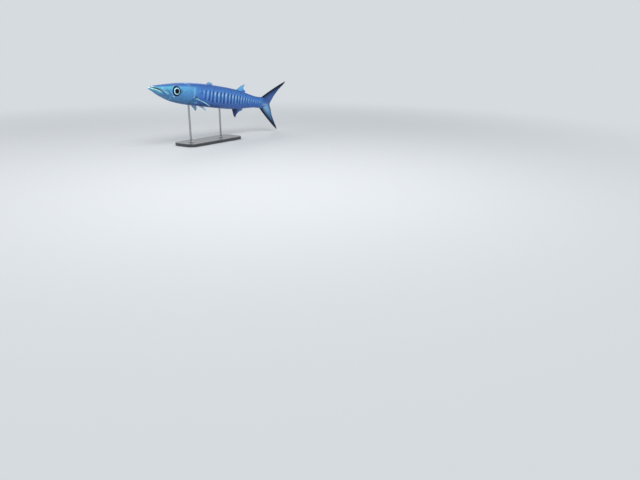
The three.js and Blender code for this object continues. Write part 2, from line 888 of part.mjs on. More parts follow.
for (const [name, shape] of Object.entries(FINS)) {
  const colour = name === "fin_dorsal_first" ? "skin" : "fin";
  addNode(name, fin(shape).subtract(nearBody), colour);
}
for (const [name, shape] of Object.entries(PAIRED_FINS)) {
  addNode(name, fin(shape).subtract(nearBody), "pale_fin");
}

addNode("stand_base", basePlate(), "base");
ROD.stations.forEach((station, i) => {
  addNode(`stand_rod_${["front", "rear"][i]}`, rod(station).subtract(nearBody), "rod");
});

export default group;
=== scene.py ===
import itertools
import math

import bmesh
import bpy
import numpy as np
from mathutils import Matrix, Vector


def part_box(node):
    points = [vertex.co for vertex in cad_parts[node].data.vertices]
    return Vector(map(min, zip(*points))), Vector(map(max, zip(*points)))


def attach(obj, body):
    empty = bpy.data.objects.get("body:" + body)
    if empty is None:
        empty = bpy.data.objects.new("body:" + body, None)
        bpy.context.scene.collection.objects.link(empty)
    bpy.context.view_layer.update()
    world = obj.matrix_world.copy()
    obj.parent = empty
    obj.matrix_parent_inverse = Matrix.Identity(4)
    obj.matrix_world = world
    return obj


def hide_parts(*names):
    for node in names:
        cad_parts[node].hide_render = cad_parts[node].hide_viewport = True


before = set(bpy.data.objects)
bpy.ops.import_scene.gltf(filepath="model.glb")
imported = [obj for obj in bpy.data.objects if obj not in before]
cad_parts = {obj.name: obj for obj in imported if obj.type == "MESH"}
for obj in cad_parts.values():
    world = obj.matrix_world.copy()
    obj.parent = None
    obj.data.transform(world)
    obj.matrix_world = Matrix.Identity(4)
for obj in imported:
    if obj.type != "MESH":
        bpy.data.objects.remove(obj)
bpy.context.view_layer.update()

# Driving sizes of the fish, and how far its skin lies inside the solids
STANDARD_LENGTH = 0.86
MM = 0.001
COAT = 0.6 * MM

# Pose: the spine's turn to the side in degrees at each station, the nose-up pitch, and the bank to the left
TURN = [(0, 3), (0.32, 3), (0.62, 3.5), (0.9, -10), (1.2, -4)]
PITCH = 8.5
BANK = -7
ORIGIN_STATION = 0.475
SPINE_HEIGHT = 0.248

# Body profiles: (station, distance from the spine), and the power that fills out the sections
BACK = [
    (0, 0.002), (0.004, 0.0055), (0.01, 0.0075), (0.016, 0.01), (0.03, 0.0145), (0.05, 0.0185),
    (0.1, 0.0285), (0.15, 0.038), (0.19, 0.0455), (0.25, 0.0545), (0.325, 0.0615), (0.42, 0.067),
    (0.52, 0.069), (0.62, 0.0685), (0.72, 0.0655), (0.8, 0.0575), (0.87, 0.0455), (0.93, 0.037),
    (0.965, 0.0365), (0.99, 0.0395), (1.004, 0.037), (1.02, 0.03), (1.034, 0.017), (1.04, 0.004),
]
BELLY = [
    (0, 0.003), (0.004, 0.008), (0.012, 0.012), (0.03, 0.0185), (0.06, 0.031), (0.1, 0.0445),
    (0.15, 0.0575), (0.19, 0.0645), (0.25, 0.069), (0.325, 0.071), (0.42, 0.071), (0.52, 0.0705),
    (0.62, 0.0695), (0.72, 0.0665), (0.8, 0.059), (0.87, 0.047), (0.93, 0.0395), (0.965, 0.0392),
    (0.99, 0.0425), (1.004, 0.04), (1.02, 0.0325), (1.034, 0.0185), (1.04, 0.004),
]
SIDE = [
    (0, 0.002), (0.004, 0.0052), (0.016, 0.0095), (0.05, 0.0165), (0.1, 0.0245), (0.15, 0.032),
    (0.19, 0.038), (0.25, 0.0435), (0.325, 0.0475), (0.42, 0.0495), (0.52, 0.05), (0.62, 0.048),
    (0.72, 0.0425), (0.8, 0.035), (0.87, 0.027), (0.93, 0.0195), (0.965, 0.014), (0.995, 0.0065),
    (1.004, 0.0046), (1.02, 0.0028), (1.034, 0.0016), (1.04, 0.001),
]
BODY_END = 1.039
FULLNESS = 0.92

# Mouth: (station, height) of the middle of the gape, the gape's height along it, and the jaw hinge's fold
GAPE_LINE = [
    (-0.02, 0.0075), (0.008, 0.0065), (0.018, 0.0047), (0.033, 0.0035), (0.051, 0.0012), (0.072, -0.0048),
    (0.092, -0.0128), (0.106, -0.0205), (0.118, -0.028),
]
GAPE_HEIGHT = [(-0.02, 0.0042), (0.014, 0.0044), (0.034, 0.0052), (0.075, 0.0036), (0.118, 0)]
GAPE_CORNER = 0.118
HINGE_LINE = [(0.15, -0.046), (0.158, -0.052), (0.168, -0.066)]

# Head plates, as outlines of (station, height)
MAXILLA = [
    (0.05, 0.0055), (0.085, 0.0005), (0.115, -0.007), (0.135, -0.0125), (0.15, -0.022), (0.1585, -0.036),
    (0.1565, -0.0465), (0.148, -0.0435), (0.1385, -0.0378), (0.121, -0.0275), (0.107, -0.0193),
    (0.092, -0.0111), (0.073, -0.0038), (0.05, 0.0012),
]
GILL_COVER = [
    (0.2345, 0.0285), (0.2595, 0.0435), (0.286, 0.0495), (0.3015, 0.0345), (0.3125, 0.0125),
    (0.3225, -0.0085), (0.3145, -0.0285), (0.2925, -0.0475), (0.2615, -0.059), (0.238, -0.0475),
    (0.229, -0.0235), (0.229, 0.0035),
]
# The eye's place and size, how deep it sits, how far it looks forward and up in degrees, how far round the
# ball goes as a share of half a turn, and how far its pupil is drawn out to the front
EYE = {"station": 0.182, "height": 0.0035, "radius": 21 * MM, "bulge": 9.5 * MM, "sunk": 4.6 * MM,
       "forward": 9, "up": 5, "wrap": 0.62, "drawn_out": 0.1}


def smooth_curve(points):
    """A smooth curve through (x, y) points that never overshoots them (a monotone cubic)."""
    xs, ys = (np.array(column, float) for column in zip(*points))
    steps = np.diff(xs)
    slopes = np.diff(ys) / steps
    before = 2 * steps[1:] + steps[:-1]
    after = steps[1:] + 2 * steps[:-1]
    same_way = slopes[:-1] * slopes[1:] > 0
    first = np.where(same_way, slopes[:-1], 1)
    second = np.where(same_way, slopes[1:], 1)
    inner = np.where(same_way, (before + after) / (before / first + after / second), 0)
    bends = np.concatenate([slopes[:1], inner, slopes[-1:]])

    def value(x):
        at = np.clip(x, xs[0], xs[-1])
        i = np.clip(np.searchsorted(xs, at, side="right") - 1, 0, len(steps) - 1)
        u = (at - xs[i]) / steps[i]
        v = 1 - u
        return (ys[i] * (1 + 2 * u) * v * v + bends[i] * steps[i] * u * v * v
                + ys[i + 1] * u * u * (3 - 2 * u) - bends[i + 1] * steps[i] * u * u * v)

    return value


turn_at, back_at, belly_at, side_at, gape_middle_at, gape_height_at = (
    smooth_curve(points) for points in (TURN, BACK, BELLY, SIDE, GAPE_LINE, GAPE_HEIGHT))


def unit(vectors):
    return vectors / np.maximum(np.linalg.norm(vectors, axis=-1, keepdims=True), 1e-12)


def ramp(x, low, high):
    """0 below low, 1 above high, and smooth between them."""
    t = np.clip((x - low) / (high - low), 0, 1)
    return t * t * (3 - 2 * t)


def bell(x, width):
    """1 where x is 0, falling smoothly to almost nothing at twice the width."""
    return np.exp(-(x / width) ** 2)


def directions(station):
    """Unit vectors towards the tail, the fish's left and its back at each station."""
    turn = np.radians(turn_at(np.asarray(station, float)))
    pitch = math.radians(PITCH)
    bank = math.radians(BANK)
    level_tail = math.cos(pitch)
    tail = np.stack([level_tail * np.cos(turn), level_tail * np.sin(turn),
                     np.full_like(turn, -math.sin(pitch))], -1)
    level = np.stack([np.sin(turn), -np.cos(turn), np.zeros_like(turn)], -1)
    upright = np.cross(level, tail)
    left = level * math.cos(bank) + upright * math.sin(bank)
    up = upright * math.cos(bank) - level * math.sin(bank)
    return tail, left, up


# The spine, summed up from short steps
SPINE_STEP = 0.002
SPINE_START = -0.04
SPINE_END = 1.24
spine_stations = np.arange(SPINE_START, SPINE_END + SPINE_STEP / 2, SPINE_STEP)
spine_steps = directions(spine_stations[:-1] + SPINE_STEP / 2)[0] * SPINE_STEP * STANDARD_LENGTH
spine_places = np.vstack([np.zeros(3), np.cumsum(spine_steps, axis=0)])


def summed_place(station):
    return np.stack([np.interp(station, spine_stations, spine_places[:, k]) for k in range(3)], -1)


spine_shift = np.array([0, 0, SPINE_HEIGHT]) - summed_place(ORIGIN_STATION)


def place(station, left, up):
    """The points at stations, so far to the left of the spine and so far above it."""
    station, left, up = np.broadcast_arrays(*(np.asarray(x, float) for x in (station, left, up)))
    _, to_left, to_back = directions(station)
    beside = to_left * left[..., None] + to_back * up[..., None]
    return summed_place(station) + spine_shift + beside * STANDARD_LENGTH


def reach_at(station, upward):
    """How far the body reaches from the spine: to its back where upward is positive, else to its belly."""
    return np.where(upward > 0, back_at(station), belly_at(station))


def section(station, angle):
    """Half-width, height and outward direction of the body's section. The angle runs from the back over the
    left side to the belly."""
    cosine = np.cos(angle)
    sine = np.sin(angle)
    reach = reach_at(station, cosine)
    side = side_at(station)
    height = reach * np.sign(cosine) * np.abs(cosine) ** FULLNESS
    width = side * np.sign(sine) * np.abs(sine) ** FULLNESS
    out = unit(np.stack([width / side ** 2, height / reach ** 2], -1))
    return width, height, out


def angle_at(station, height):
    """The angle on the left side at which the section has that height."""
    share = np.clip(np.abs(height) / reach_at(station, height), 0, 1) ** (1 / FULLNESS)
    return np.arccos(np.sign(height) * share)


def half_width_at(station, height):
    return section(station, angle_at(station, height))[0]


# Relief of the skin
OUTLINE_POINTS = 96
ALMOST_NOTHING = 1e-18


def rounded(outline):
    """A smooth closed outline through the corners (a closed cubic curve)."""
    corners = np.array(outline, float)
    size = len(corners)
    t = np.arange(OUTLINE_POINTS) * size / OUTLINE_POINTS
    i = t.astype(int)
    u = (t - i)[:, None]
    p0, p1, p2, p3 = (corners[(i + k) % size] for k in (-1, 0, 1, 2))
    return 0.5 * (2 * p1 + (p2 - p0) * u + (2 * p0 - 5 * p1 + 4 * p2 - p3) * u * u
                  + (3 * p1 - p0 - 3 * p2 + p3) * u ** 3)


def point_distance(middle, level, station, height):
    """Distance in metres from one point of the side."""
    return np.hypot(station - middle, height - level) * STANDARD_LENGTH


def line_distance(points, station, height):
    """Distance in metres from a line of points."""
    best = np.full(station.shape, np.inf)
    for (x0, y0), (x1, y1) in zip(points, points[1:]):
        dx = x1 - x0
        dy = y1 - y0
        along = ((station - x0) * dx + (height - y0) * dy) / (dx * dx + dy * dy + ALMOST_NOTHING)
        t = np.clip(along, 0, 1)
        best = np.minimum(best, np.hypot(station - x0 - t * dx, height - y0 - t * dy))
    return best * STANDARD_LENGTH


def inside_distance(outline, station, height):
    """Distance in metres from a closed outline, positive inside it."""
    closed = np.vstack([outline, outline[:1]])
    inside = np.zeros(station.shape, bool)
    for (x0, y0), (x1, y1) in zip(closed, closed[1:]):
        crosses = (y0 > height) != (y1 > height)
        inside ^= crosses & (station < x0 + (x1 - x0) * (height - y0) / (y1 - y0 or ALMOST_NOTHING))
    return line_distance(closed, station, height) * np.where(inside, 1, -1)


maxilla = rounded(MAXILLA)
gill_cover = rounded(GILL_COVER)
HEAD_PLATES_END = 0.34
COVER_RISE = 1.7 * MM
COVER_EDGE = 1.6 * MM
MAXILLA_RISE = 1.2 * MM
LIP_WIDTH = 4 * MM
LIP_RISE = 0.8 * MM
LIP_START = 0.004
CHEEK_LINE = [(0.2205, 0.03), (0.222, 0), (0.2235, -0.026), (0.2285, -0.044), (0.224, -0.056)]
COVER_LINE = [(0.282, 0.042), (0.2885, 0.018), (0.3, 0.004), (0.304, -0.024), (0.302, -0.04)]
SNOUT_LINE = [(0.06, 0.0165), (0.1, 0.0195), (0.135, 0.0235), (0.155, 0.0285)]
# Grooves of the head: the line, and its half-width and depth in millimetres
GROOVES = [(HINGE_LINE, 1.3, 0.8), (CHEEK_LINE, 1.6, 0.5), (COVER_LINE, 1.6, 0.35), (SNOUT_LINE, 1.6, 0.4)]
SOCKET_RADIUS = 19 * MM
SOCKET_DEPTH = 5 * MM
RIM_RADIUS = 23.5 * MM
RIM_DEPTH = 0.8 * MM
RIM_RISE = 0.7 * MM
# Nostrils: station, height and radius
NOSTRILS = [(0.1455, 0.0172, 1.5 * MM), (0.1525, 0.0184, 1.9 * MM)]
NOSTRIL_DEPTH = 1.1 * MM
# The crown's ridges and the throat's folds, in millimetres
RIDGE_RISE = 0.45
FOLD_RISE = 0.5
lateral_line_at = smooth_curve([(0.318, 0.031), (0.36, 0.026), (0.45, 0.0205), (0.6, 0.0185), (0.7, 0.0165),
                                (0.8, 0.0125), (0.9, 0.007), (1, 0.003)])


def groove(distance, width, depth):
    return -depth * bell(distance, width)


def eye_distance(station, height):
    return point_distance(EYE["station"], EYE["height"], station, height)


def nostril_share(station, height):
    """1 in the two nostrils' pits, 0 outside them."""
    share = np.zeros(station.shape)
    for middle, level, radius in NOSTRILS:
        away = point_distance(middle, level, station, height)
        share = np.maximum(share, 1 - ramp(away, 0.45 * radius, 1.1 * radius))
    return share


def head_relief(station, height):
    """How far the skin of the head stands out of the plain body, in metres."""
    # The gill cover's edge is soft and low in front, and sharp at the rear
    cover = inside_distance(gill_cover, station, height)
    rear = ramp(station, 0.236, 0.275)
    edge = COVER_EDGE * (4 - 3 * rear)
    rise = COVER_RISE * ramp(cover, -edge * 0.2, edge) * (0.3 + 0.7 * rear)
    rise += groove(cover + 1.2 * MM, 1.5 * MM, 0.9 * MM) * (0.25 + 0.75 * rear)
    jaw = inside_distance(maxilla, station, height)
    rise += MAXILLA_RISE * ramp(jaw, -0.2 * MM, 2.2 * MM) + groove(jaw + 0.5 * MM, 1.1 * MM, 0.5 * MM)
    from_gape = (np.abs(height - gape_middle_at(station)) * STANDARD_LENGTH
                 - gape_height_at(station) * STANDARD_LENGTH / 2)
    along = ramp(station, LIP_START, LIP_START + 0.02) * (1 - ramp(station, 0.1, GAPE_CORNER + 0.002))
    lip = 1 - ramp(np.abs(from_gape - LIP_WIDTH / 2), LIP_WIDTH * 0.35, LIP_WIDTH * 0.75)
    rise += LIP_RISE * lip * along
    for line, width, depth in GROOVES:
        rise += groove(line_distance(line, station, height), width * MM, depth * MM)
    rise -= NOSTRIL_DEPTH * nostril_share(station, height)
    from_eye = eye_distance(station, height)
    rise -= SOCKET_DEPTH * (1 - ramp(from_eye, SOCKET_RADIUS, SOCKET_RADIUS + 2.2 * MM))
    rise -= RIM_DEPTH * (1 - ramp(from_eye, RIM_RADIUS - 2 * MM, RIM_RADIUS))
    return rise + RIM_RISE * bell(from_eye - RIM_RADIUS - 1 * MM, 2.4 * MM)


def crown_relief(station, angle):
    """Long bony ridges on the top of the head and folds under the throat."""
    around = np.minimum(angle, 2 * math.pi - angle)
    crown = ramp(station, 0.03, 0.09) * (1 - ramp(station, 0.2, 0.25)) * (1 - ramp(around, 0.75, 1))
    ridges = np.cos(around * 9.5) * RIDGE_RISE * MM
    throat = ramp(station, 0.08, 0.13) * (1 - ramp(station, 0.27, 0.31)) * ramp(around, 2.2, 2.6)
    folds = np.cos((math.pi - around) * 13 + station * 14) * FOLD_RISE * MM
    return crown * ridges + throat * folds


def skin_point(station, angle, lift):
    """Points of the skin, raised by lift, with the places' heights."""
    width, height, out = section(station, angle)
    rise = crown_relief(station, angle)
    on_head = station < HEAD_PLATES_END
    rise[on_head] += head_relief(station[on_head], height[on_head])
    more = (rise + lift) / STANDARD_LENGTH
    return place(station, width + out[..., 0] * more, height + out[..., 1] * more), height


# Markings
def colour(red, green, blue):
    """A display colour from 0 to 255 as the linear values that shaders take."""
    shares = np.array([red, green, blue]) / 255
    return np.where(shares <= 0.04045, shares / 12.92, ((shares + 0.055) / 1.055) ** 2.4)


# The photo's water is deep blue, so its fish look more silvery than their own values: this moves them there
SILVER_SHIFT = np.array([1.85, 1.31, 0.85])
PALEST = 0.88

# Colours by height: -1 at the belly's edge and 1 at the back's, and the display colour there
# In both lists the lower flank and belly hold painted shade: a mid blue, darker than the fish's own pale
# silver belly
BODY_COLOURS = [(-1, 70, 106, 192), (-0.7, 54, 94, 186), (-0.35, 50, 96, 194), (0.1, 52, 106, 206),
                (0.5, 50, 106, 202), (0.8, 44, 90, 184), (1, 36, 68, 150)]
HEAD_COLOURS = [(-1, 76, 124, 194), (-0.6, 55, 109, 184), (-0.2, 58, 118, 200), (0.2, 63, 130, 212),
                (0.58, 70, 142, 220), (0.78, 47, 94, 182), (1, 37, 71, 148)]
SNOUT_COLOUR = colour(76, 160, 206)
GAP_COLOUR = colour(84, 144, 242)
BAR_COLOUR = colour(16, 44, 122)
SPOT_COLOUR = colour(132, 192, 250)
# Dark navy: the eye's rim, partly its own and partly painted shade, and painted shade in nostrils and gape
RIM_COLOUR = colour(8, 26, 66)
# Pale lips: partly the jaws' own colour, partly painted highlight
LIP_COLOUR = colour(138, 208, 252)
# Painted shade in the head's creases and grooves
CREASE_SHADE_COLOUR = colour(20, 56, 128)
TAIL_ROOT_COLOUR = colour(38, 80, 160)
# A painted highlight on the tail's root
CAUDAL_ROOT_HIGHLIGHT = colour(124, 186, 250)
LINE_COLOUR = colour(120, 178, 246)
HEAD_MARKS_END = 0.38

# Bars: their number at each station, the heights of their tops and feet, and how their limbs lean back
bar_number_at = smooth_curve([(0.345, -1), (0.38, 0), (0.479, 3), (0.585, 6), (0.692, 9), (0.783, 12),
                              (0.857, 15), (0.925, 18), (0.965, 20)])
bar_top_at = smooth_curve([(0.37, 0.033), (0.45, 0.043), (0.6, 0.044), (0.72, 0.04), (0.8, 0.033),
                           (0.87, 0.025), (0.96, 0.015)])
bar_foot_at = smooth_curve([(0.37, 0.008), (0.41, -0.024), (0.45, -0.036), (0.55, -0.038), (0.65, -0.036),
                            (0.72, -0.03), (0.8, -0.022), (0.86, -0.017), (0.96, -0.009)])
UPPER_LEAN = 0.5
LOWER_LEAN = 3.6
FRONT_LEAN = -1

# Soft patches of the head and shoulder: station, height, half-length, half-height, display colour, strength
# The pale blue patches are painted highlights, the near-black spot behind the pectoral's root is painted
# shade, the teal ones are tints
PATCHES = [
    (0.145, 0.018, 0.02, 0.01, (70, 160, 188), 0.45),
    (0.178, 0.0295, 0.016, 0.004, (132, 200, 252), 0.6),
    (0.214, 0.005, 0.013, 0.012, (30, 98, 140), 0.6),
    (0.168, -0.0295, 0.013, 0.004, (122, 180, 250), 0.5),
    (0.151, -0.0455, 0.007, 0.006, (126, 196, 240), 0.5),
    (0.318, 0.009, 0.007, 0.02, (118, 178, 250), 0.6),
    (0.35, -0.051, 0.018, 0.006, (108, 174, 250), 0.55),
    (0.322, -0.036, 0.016, 0.008, (26, 84, 138), 0.45),
    (0.3345, -0.0165, 0.0125, 0.0048, (6, 18, 50), 0.95),
    (0.3165, -0.0165, 0.0045, 0.0045, (146, 204, 250), 0.8),
]
# Lines of painted shade in the head's grooves and along its plates: half-width in millimetres, strength, and
# points of (station, height)
SHADE_LINES = [
    (1.3, 0.5, HINGE_LINE),
    (3, 0.6, [(0.118, 0.002), (0.129, -0.005), (0.139, -0.0125)]),
    (2.2, 0.35, [(0.141, -0.0145), (0.152, -0.021), (0.161, -0.032), (0.163, -0.044)]),
    (1.6, 0.3, COVER_LINE),
    (1.8, 0.22, CHEEK_LINE),
]
# Painted highlights of the head, as pale streaks, in the same form
HIGHLIGHT_LINES = [
    (3.2, 0.45, [(0.083, 0.009), (0.105, -0.009), (0.126, -0.018)]),
    (2.6, 0.35, [(0.142, -0.005), (0.158, -0.017), (0.17, -0.031)]),
    (3, 0.35, [(0.262, 0.055), (0.293, 0.048)]),
]


def layered(colours, *layers):
    """Colours under layers of (colour, share), each laid over the ones before it."""
    for tint, share in layers:
        colours = colours + (tint - colours) * share[..., None]
    return colours


def by_height(stops, share):
    levels = [stop[0] for stop in stops]
    colours = np.array([colour(*stop[1:]) for stop in stops])
    return np.stack([np.interp(share, levels, colours[:, k]) for k in range(3)], -1)


def bars_and_gaps(station, height):
    """How dark the chevron bars are at each place, and how bright the gaps between them."""
    above = height - lateral_line_at(station)
    lower_lean = FRONT_LEAN + (LOWER_LEAN - FRONT_LEAN) * ramp(station, 0.4, 0.53)
    back_shift = np.where(above > 0, UPPER_LEAN * above, lower_lean * above ** 2)
    number = bar_number_at(station - back_shift)
    uneven = np.sin(np.round(number) * 2.4)
    away = np.abs(number - np.round(number) + 0.05 * uneven)
    bar = 1 - ramp(away, 0.15, 0.36)
    top = bar_top_at(station) + 0.002 * uneven
    foot = bar_foot_at(station) - 0.003 * uneven
    # The bars start behind the gill cover, are strongest at mid-body and fade towards the tail fin
    zone = (1 - ramp(height, top - 0.014, top)) * ramp(height, foot, foot + 0.012)
    zone = zone * ramp(station, 0.352, 0.392)
    zone = zone * (0.7 + 0.3 * ramp(station, 0.38, 0.46) - 0.5 * ramp(station, 0.76, 0.9))
    zone = zone * (1 - ramp(station, 0.93, 0.965))
    # They are darkest where they cross the lateral line and near their feet
    darkest = np.maximum(bell(above - 0.004, 0.013), bell(height - foot - 0.012, 0.009))
    return zone * bar * (0.74 + 0.26 * darkest), zone * (1 - bar)


def spot_share(station, height):
    """Pale spots in the gaps between the bars, along the lateral line."""
    number = bar_number_at(station)
    rise = (height - lateral_line_at(station)) * STANDARD_LENGTH
    strength = ramp(station, 0.4, 0.5) * (1 - 0.75 * ramp(station, 0.72, 0.86))
    return strength * bell(number - np.floor(number) - 0.5, 0.17) * bell(rise, 9.5 * MM)


def lines_share(lines, station, height):
    """How strongly soft lines of the head show at each place."""
    return np.max([strength * bell(line_distance(points, station, height), half_width * MM)
                   for half_width, strength, points in lines], axis=0)


def head_marks(colours, station, height):
    """The body's colours with the head's marks laid over them."""
    snout = ((1 - ramp(station, 0.1, 0.17)) * ramp(height, -0.03, -0.01)
             * (1 - ramp(height / back_at(station), 0.6, 0.75)))
    patches = []
    for middle, level, half_length, half_height, tint, strength in PATCHES:
        away = ((station - middle) / half_length) ** 2 + ((height - level) / half_height) ** 2
        patches.append((colour(*tint), strength * np.exp(-away ** 1.5)))
    # The lower lip is pale far back along the mouth, the upper lip only near the tip of the snout
    # The pale lips are partly the jaws' own colour and partly painted highlight
    from_gape = np.abs(height - gape_middle_at(station)) * STANDARD_LENGTH
    lower = height < gape_middle_at(station)
    reach = np.where(lower, 9.5 * MM, 8.5 * MM)
    end = np.where(lower, 0.092, 0.044)
    lip = (1 - ramp(from_gape, reach * 0.55, reach)) * (1 - ramp(station, end - 0.02, end))
    lip = lip * np.where(lower, 1, ramp(station, 0.012, 0.022))
    # Painted shade darkens the lips' inner edges along the open mouth
    from_edge = from_gape - gape_height_at(station) * STANDARD_LENGTH / 2
    inner_lip = 1 - ramp(from_edge, 0.3 * MM, 1.5 * MM)
    inner_lip = inner_lip * (1 - ramp(station, GAPE_CORNER - 0.004, GAPE_CORNER))
    inner_lip = inner_lip * (0.85 - 0.6 * ramp(station, 0.068, 0.09))
    # Painted shade darkens the creases just outside the edges of the plates
    cover = inside_distance(gill_cover, station, height)
    cover_crease = bell(cover + 1.2 * MM, 1.6 * MM) * (0.04 + 0.5 * ramp(station, 0.27, 0.3))
    jaw_crease = 0.4 * bell(inside_distance(maxilla, station, height) + 0.6 * MM, 1.2 * MM)
    crease = np.maximum(np.maximum(cover_crease, jaw_crease), lines_share(SHADE_LINES, station, height))
    # A dark ring round the eye: partly the eye's own dark rim, partly painted shade of the orbit's rim
    eye_rim = 1 - ramp(eye_distance(station, height), 23 * MM, 27.5 * MM)
    return layered(
        colours, (SNOUT_COLOUR, 0.45 * snout), *patches, (LIP_COLOUR, 0.95 * lip), (RIM_COLOUR, inner_lip),
        # Painted highlights along the head's pale streaks, and painted shade in its creases
        (LINE_COLOUR, lines_share(HIGHLIGHT_LINES, station, height)), (CREASE_SHADE_COLOUR, crease),
        # Painted shade darkens the nostril pits
        (RIM_COLOUR, 0.9 * nostril_share(station, height)), (RIM_COLOUR, eye_rim))


def markings(station, height):
    """The skin's colour at each place, the same on both sides."""
    share = height / reach_at(station, height)
    bars, gaps = bars_and_gaps(station, height)
    from_line = (height - lateral_line_at(station)) * STANDARD_LENGTH
    colours = layered(
        by_height(HEAD_COLOURS, share),
        (by_height(BODY_COLOURS, share), ramp(station, 0.3, 0.37)),
        (GAP_COLOUR, gaps * (0.5 + 0.35 * bell(from_line, 18 * MM))),
        (LINE_COLOUR, 0.35 * bell(from_line, 1.6 * MM) * ramp(station, 0.33, 0.4)),
        (SPOT_COLOUR, 0.7 * spot_share(station, height)),
        (BAR_COLOUR, 0.82 * bars),
        (TAIL_ROOT_COLOUR, 0.7 * ramp(station, 0.97, 1.01)),
        # A painted highlight on the lower part of the tail's root
        (CAUDAL_ROOT_HIGHLIGHT, 0.5 * bell(station - 1.015, 0.026) * bell(height + 0.011, 0.009)))
    on_head = station < HEAD_MARKS_END
    colours[on_head] = head_marks(colours[on_head], station[on_head], height[on_head])
    return colours


# Materials
class Look:
    """A material, with short ways to add nodes to it."""

    def __init__(self, name):
        self.material = bpy.data.materials.new(name)
        self.material.use_nodes = True
        self.nodes = self.material.node_tree.nodes

    def put(self, socket, value):
        """Links a node's output to the socket, or sets the socket to a plain value."""
        if isinstance(value, bpy.types.NodeSocket):
            self.material.node_tree.links.new(value, socket)
        else:
            socket.default_value = (*value, 1) if socket.type == "RGBA" else value

    def node(self, kind, output, inputs=None, **settings):
        """One output of a new node with these settings and inputs."""
        node = self.nodes.new("ShaderNode" + kind)
        for name, value in settings.items():
            setattr(node, name, value)
        for name, value in (inputs or {}).items():
            self.put(node.inputs[name], value)
        return node.outputs[output]

    def values(self, name):
        """A number that the mesh carries at each point."""
        return self.node("Attribute", "Fac", attribute_name=name)

    def noise(self, scale, detail=3, roughness=0.55, stretch=None):
        """Noise in object space, in metres."""
        source = self.node("TexCoord", "Object")
        if stretch:
            source = self.node("Mapping", "Vector", {"Vector": source, "Scale": stretch})
        return self.node("TexNoise", "Fac", {"Vector": source, "Scale": scale, "Detail": detail,
                                             "Roughness": roughness})

    def levels(self, source, *stops):
        """A colour ramp with (place, colour or grey) stops."""
        node = self.nodes.new("ShaderNodeValToRGB")
        elements = node.color_ramp.elements
        while len(elements) < len(stops):
            elements.new(0.5)
        for element, (at, value) in zip(elements, stops):
            element.position = at
            element.color = (*([value] * 3 if np.isscalar(value) else value), 1)
        self.put(node.inputs["Fac"], source)
        return node.outputs["Color"]

    def blend(self, share, first, second, mode="MIX"):
        node = self.nodes.new("ShaderNodeMix")
        node.data_type = "RGBA"
        node.blend_type = mode
        for socket, value in zip([s for s in node.inputs if s.enabled], (share, first, second)):
            self.put(socket, value)
        return [s for s in node.outputs if s.enabled][0]

    def toned(self, *tones):
        """The mesh's own marking, multiplied by each tone."""
        base = self.node("Attribute", "Color", attribute_name="marking")
        for tone in tones:
            base = self.blend(1, base, tone, "MULTIPLY")
        return base

    def product(self, first, second):
        return self.node("Math", "Value", {0: first, 1: second}, operation="MULTIPLY")

    def plane(self, x, y=0):
        """A vector from a number for x and one for y."""
        return self.node("CombineXYZ", "Vector", {"X": x, "Y": y})

    def bump(self, height, strength, distance, before=None):
        inputs = {"Height": height, "Strength": strength, "Distance": distance}
        if before:
            inputs["Normal"] = before
        return self.node("Bump", "Normal", inputs)

    def painted(self, **inputs):
        """The material with these inputs on its shader, each named with _ for a space."""
        for name, value in inputs.items():
            self.put(self.nodes["Principled BSDF"].inputs[name.replace("_", " ")], value)
        return self.material


# The silvery sheen under a wet-looking coat that skin and scales share
SHEEN_COLOUR = colour(150, 204, 245)
WET_SHEEN = {"Specular_IOR_Level": 0.3, "Specular_Tint": SHEEN_COLOUR, "Coat_Weight": 0.12,
             "Coat_Roughness": 0.16, "Coat_IOR": 1.34}


def skin_material():
    look = Look("skin")
    return look.painted(
        Base_Color=look.toned(look.levels(look.noise(90, 5), (0.3, 0.82), (0.7, 1.14))),
        Roughness=look.levels(look.noise(160), (0.35, 0.32), (0.7, 0.48)),
        Normal=look.bump(look.noise(900, 4), 0.25, 0.0004, look.bump(look.noise(330, 2), 0.35, 0.0009)),
        Metallic=0.35, **WET_SHEEN)


def mouth_material():
    """Dark wet flesh inside the mouth: partly its own dark colour, partly painted shade of the open mouth."""
    look = Look("mouth")
    return look.painted(
        Base_Color=look.levels(look.noise(220, 4), (0.3, colour(4, 10, 28)), (0.7, colour(14, 22, 48))),
        Normal=look.bump(look.noise(500), 0.4, 0.0006), Roughness=0.4)


def scales_material():
    """Each scale has a tone of its own, and is darker at its root and at its very edge."""
    look = Look("scales")
    tone = look.values("tone")
    edge = look.levels(look.values("along"), (0, 0.8), (0.55, 0.98), (0.86, 1.08), (1, 0.92))
    own = look.levels(tone, (0, 0.93), (1, 1.07))
    mottle = look.levels(look.noise(50, 4), (0.3, 0.84), (0.7, 1.12))
    return look.painted(
        Base_Color=look.toned(edge, own, mottle), Roughness=look.levels(tone, (0, 0.24), (1, 0.4)),
        Normal=look.bump(look.noise(1400, 2), 0.25, 0.0002), Metallic=0.42, **WET_SHEEN)


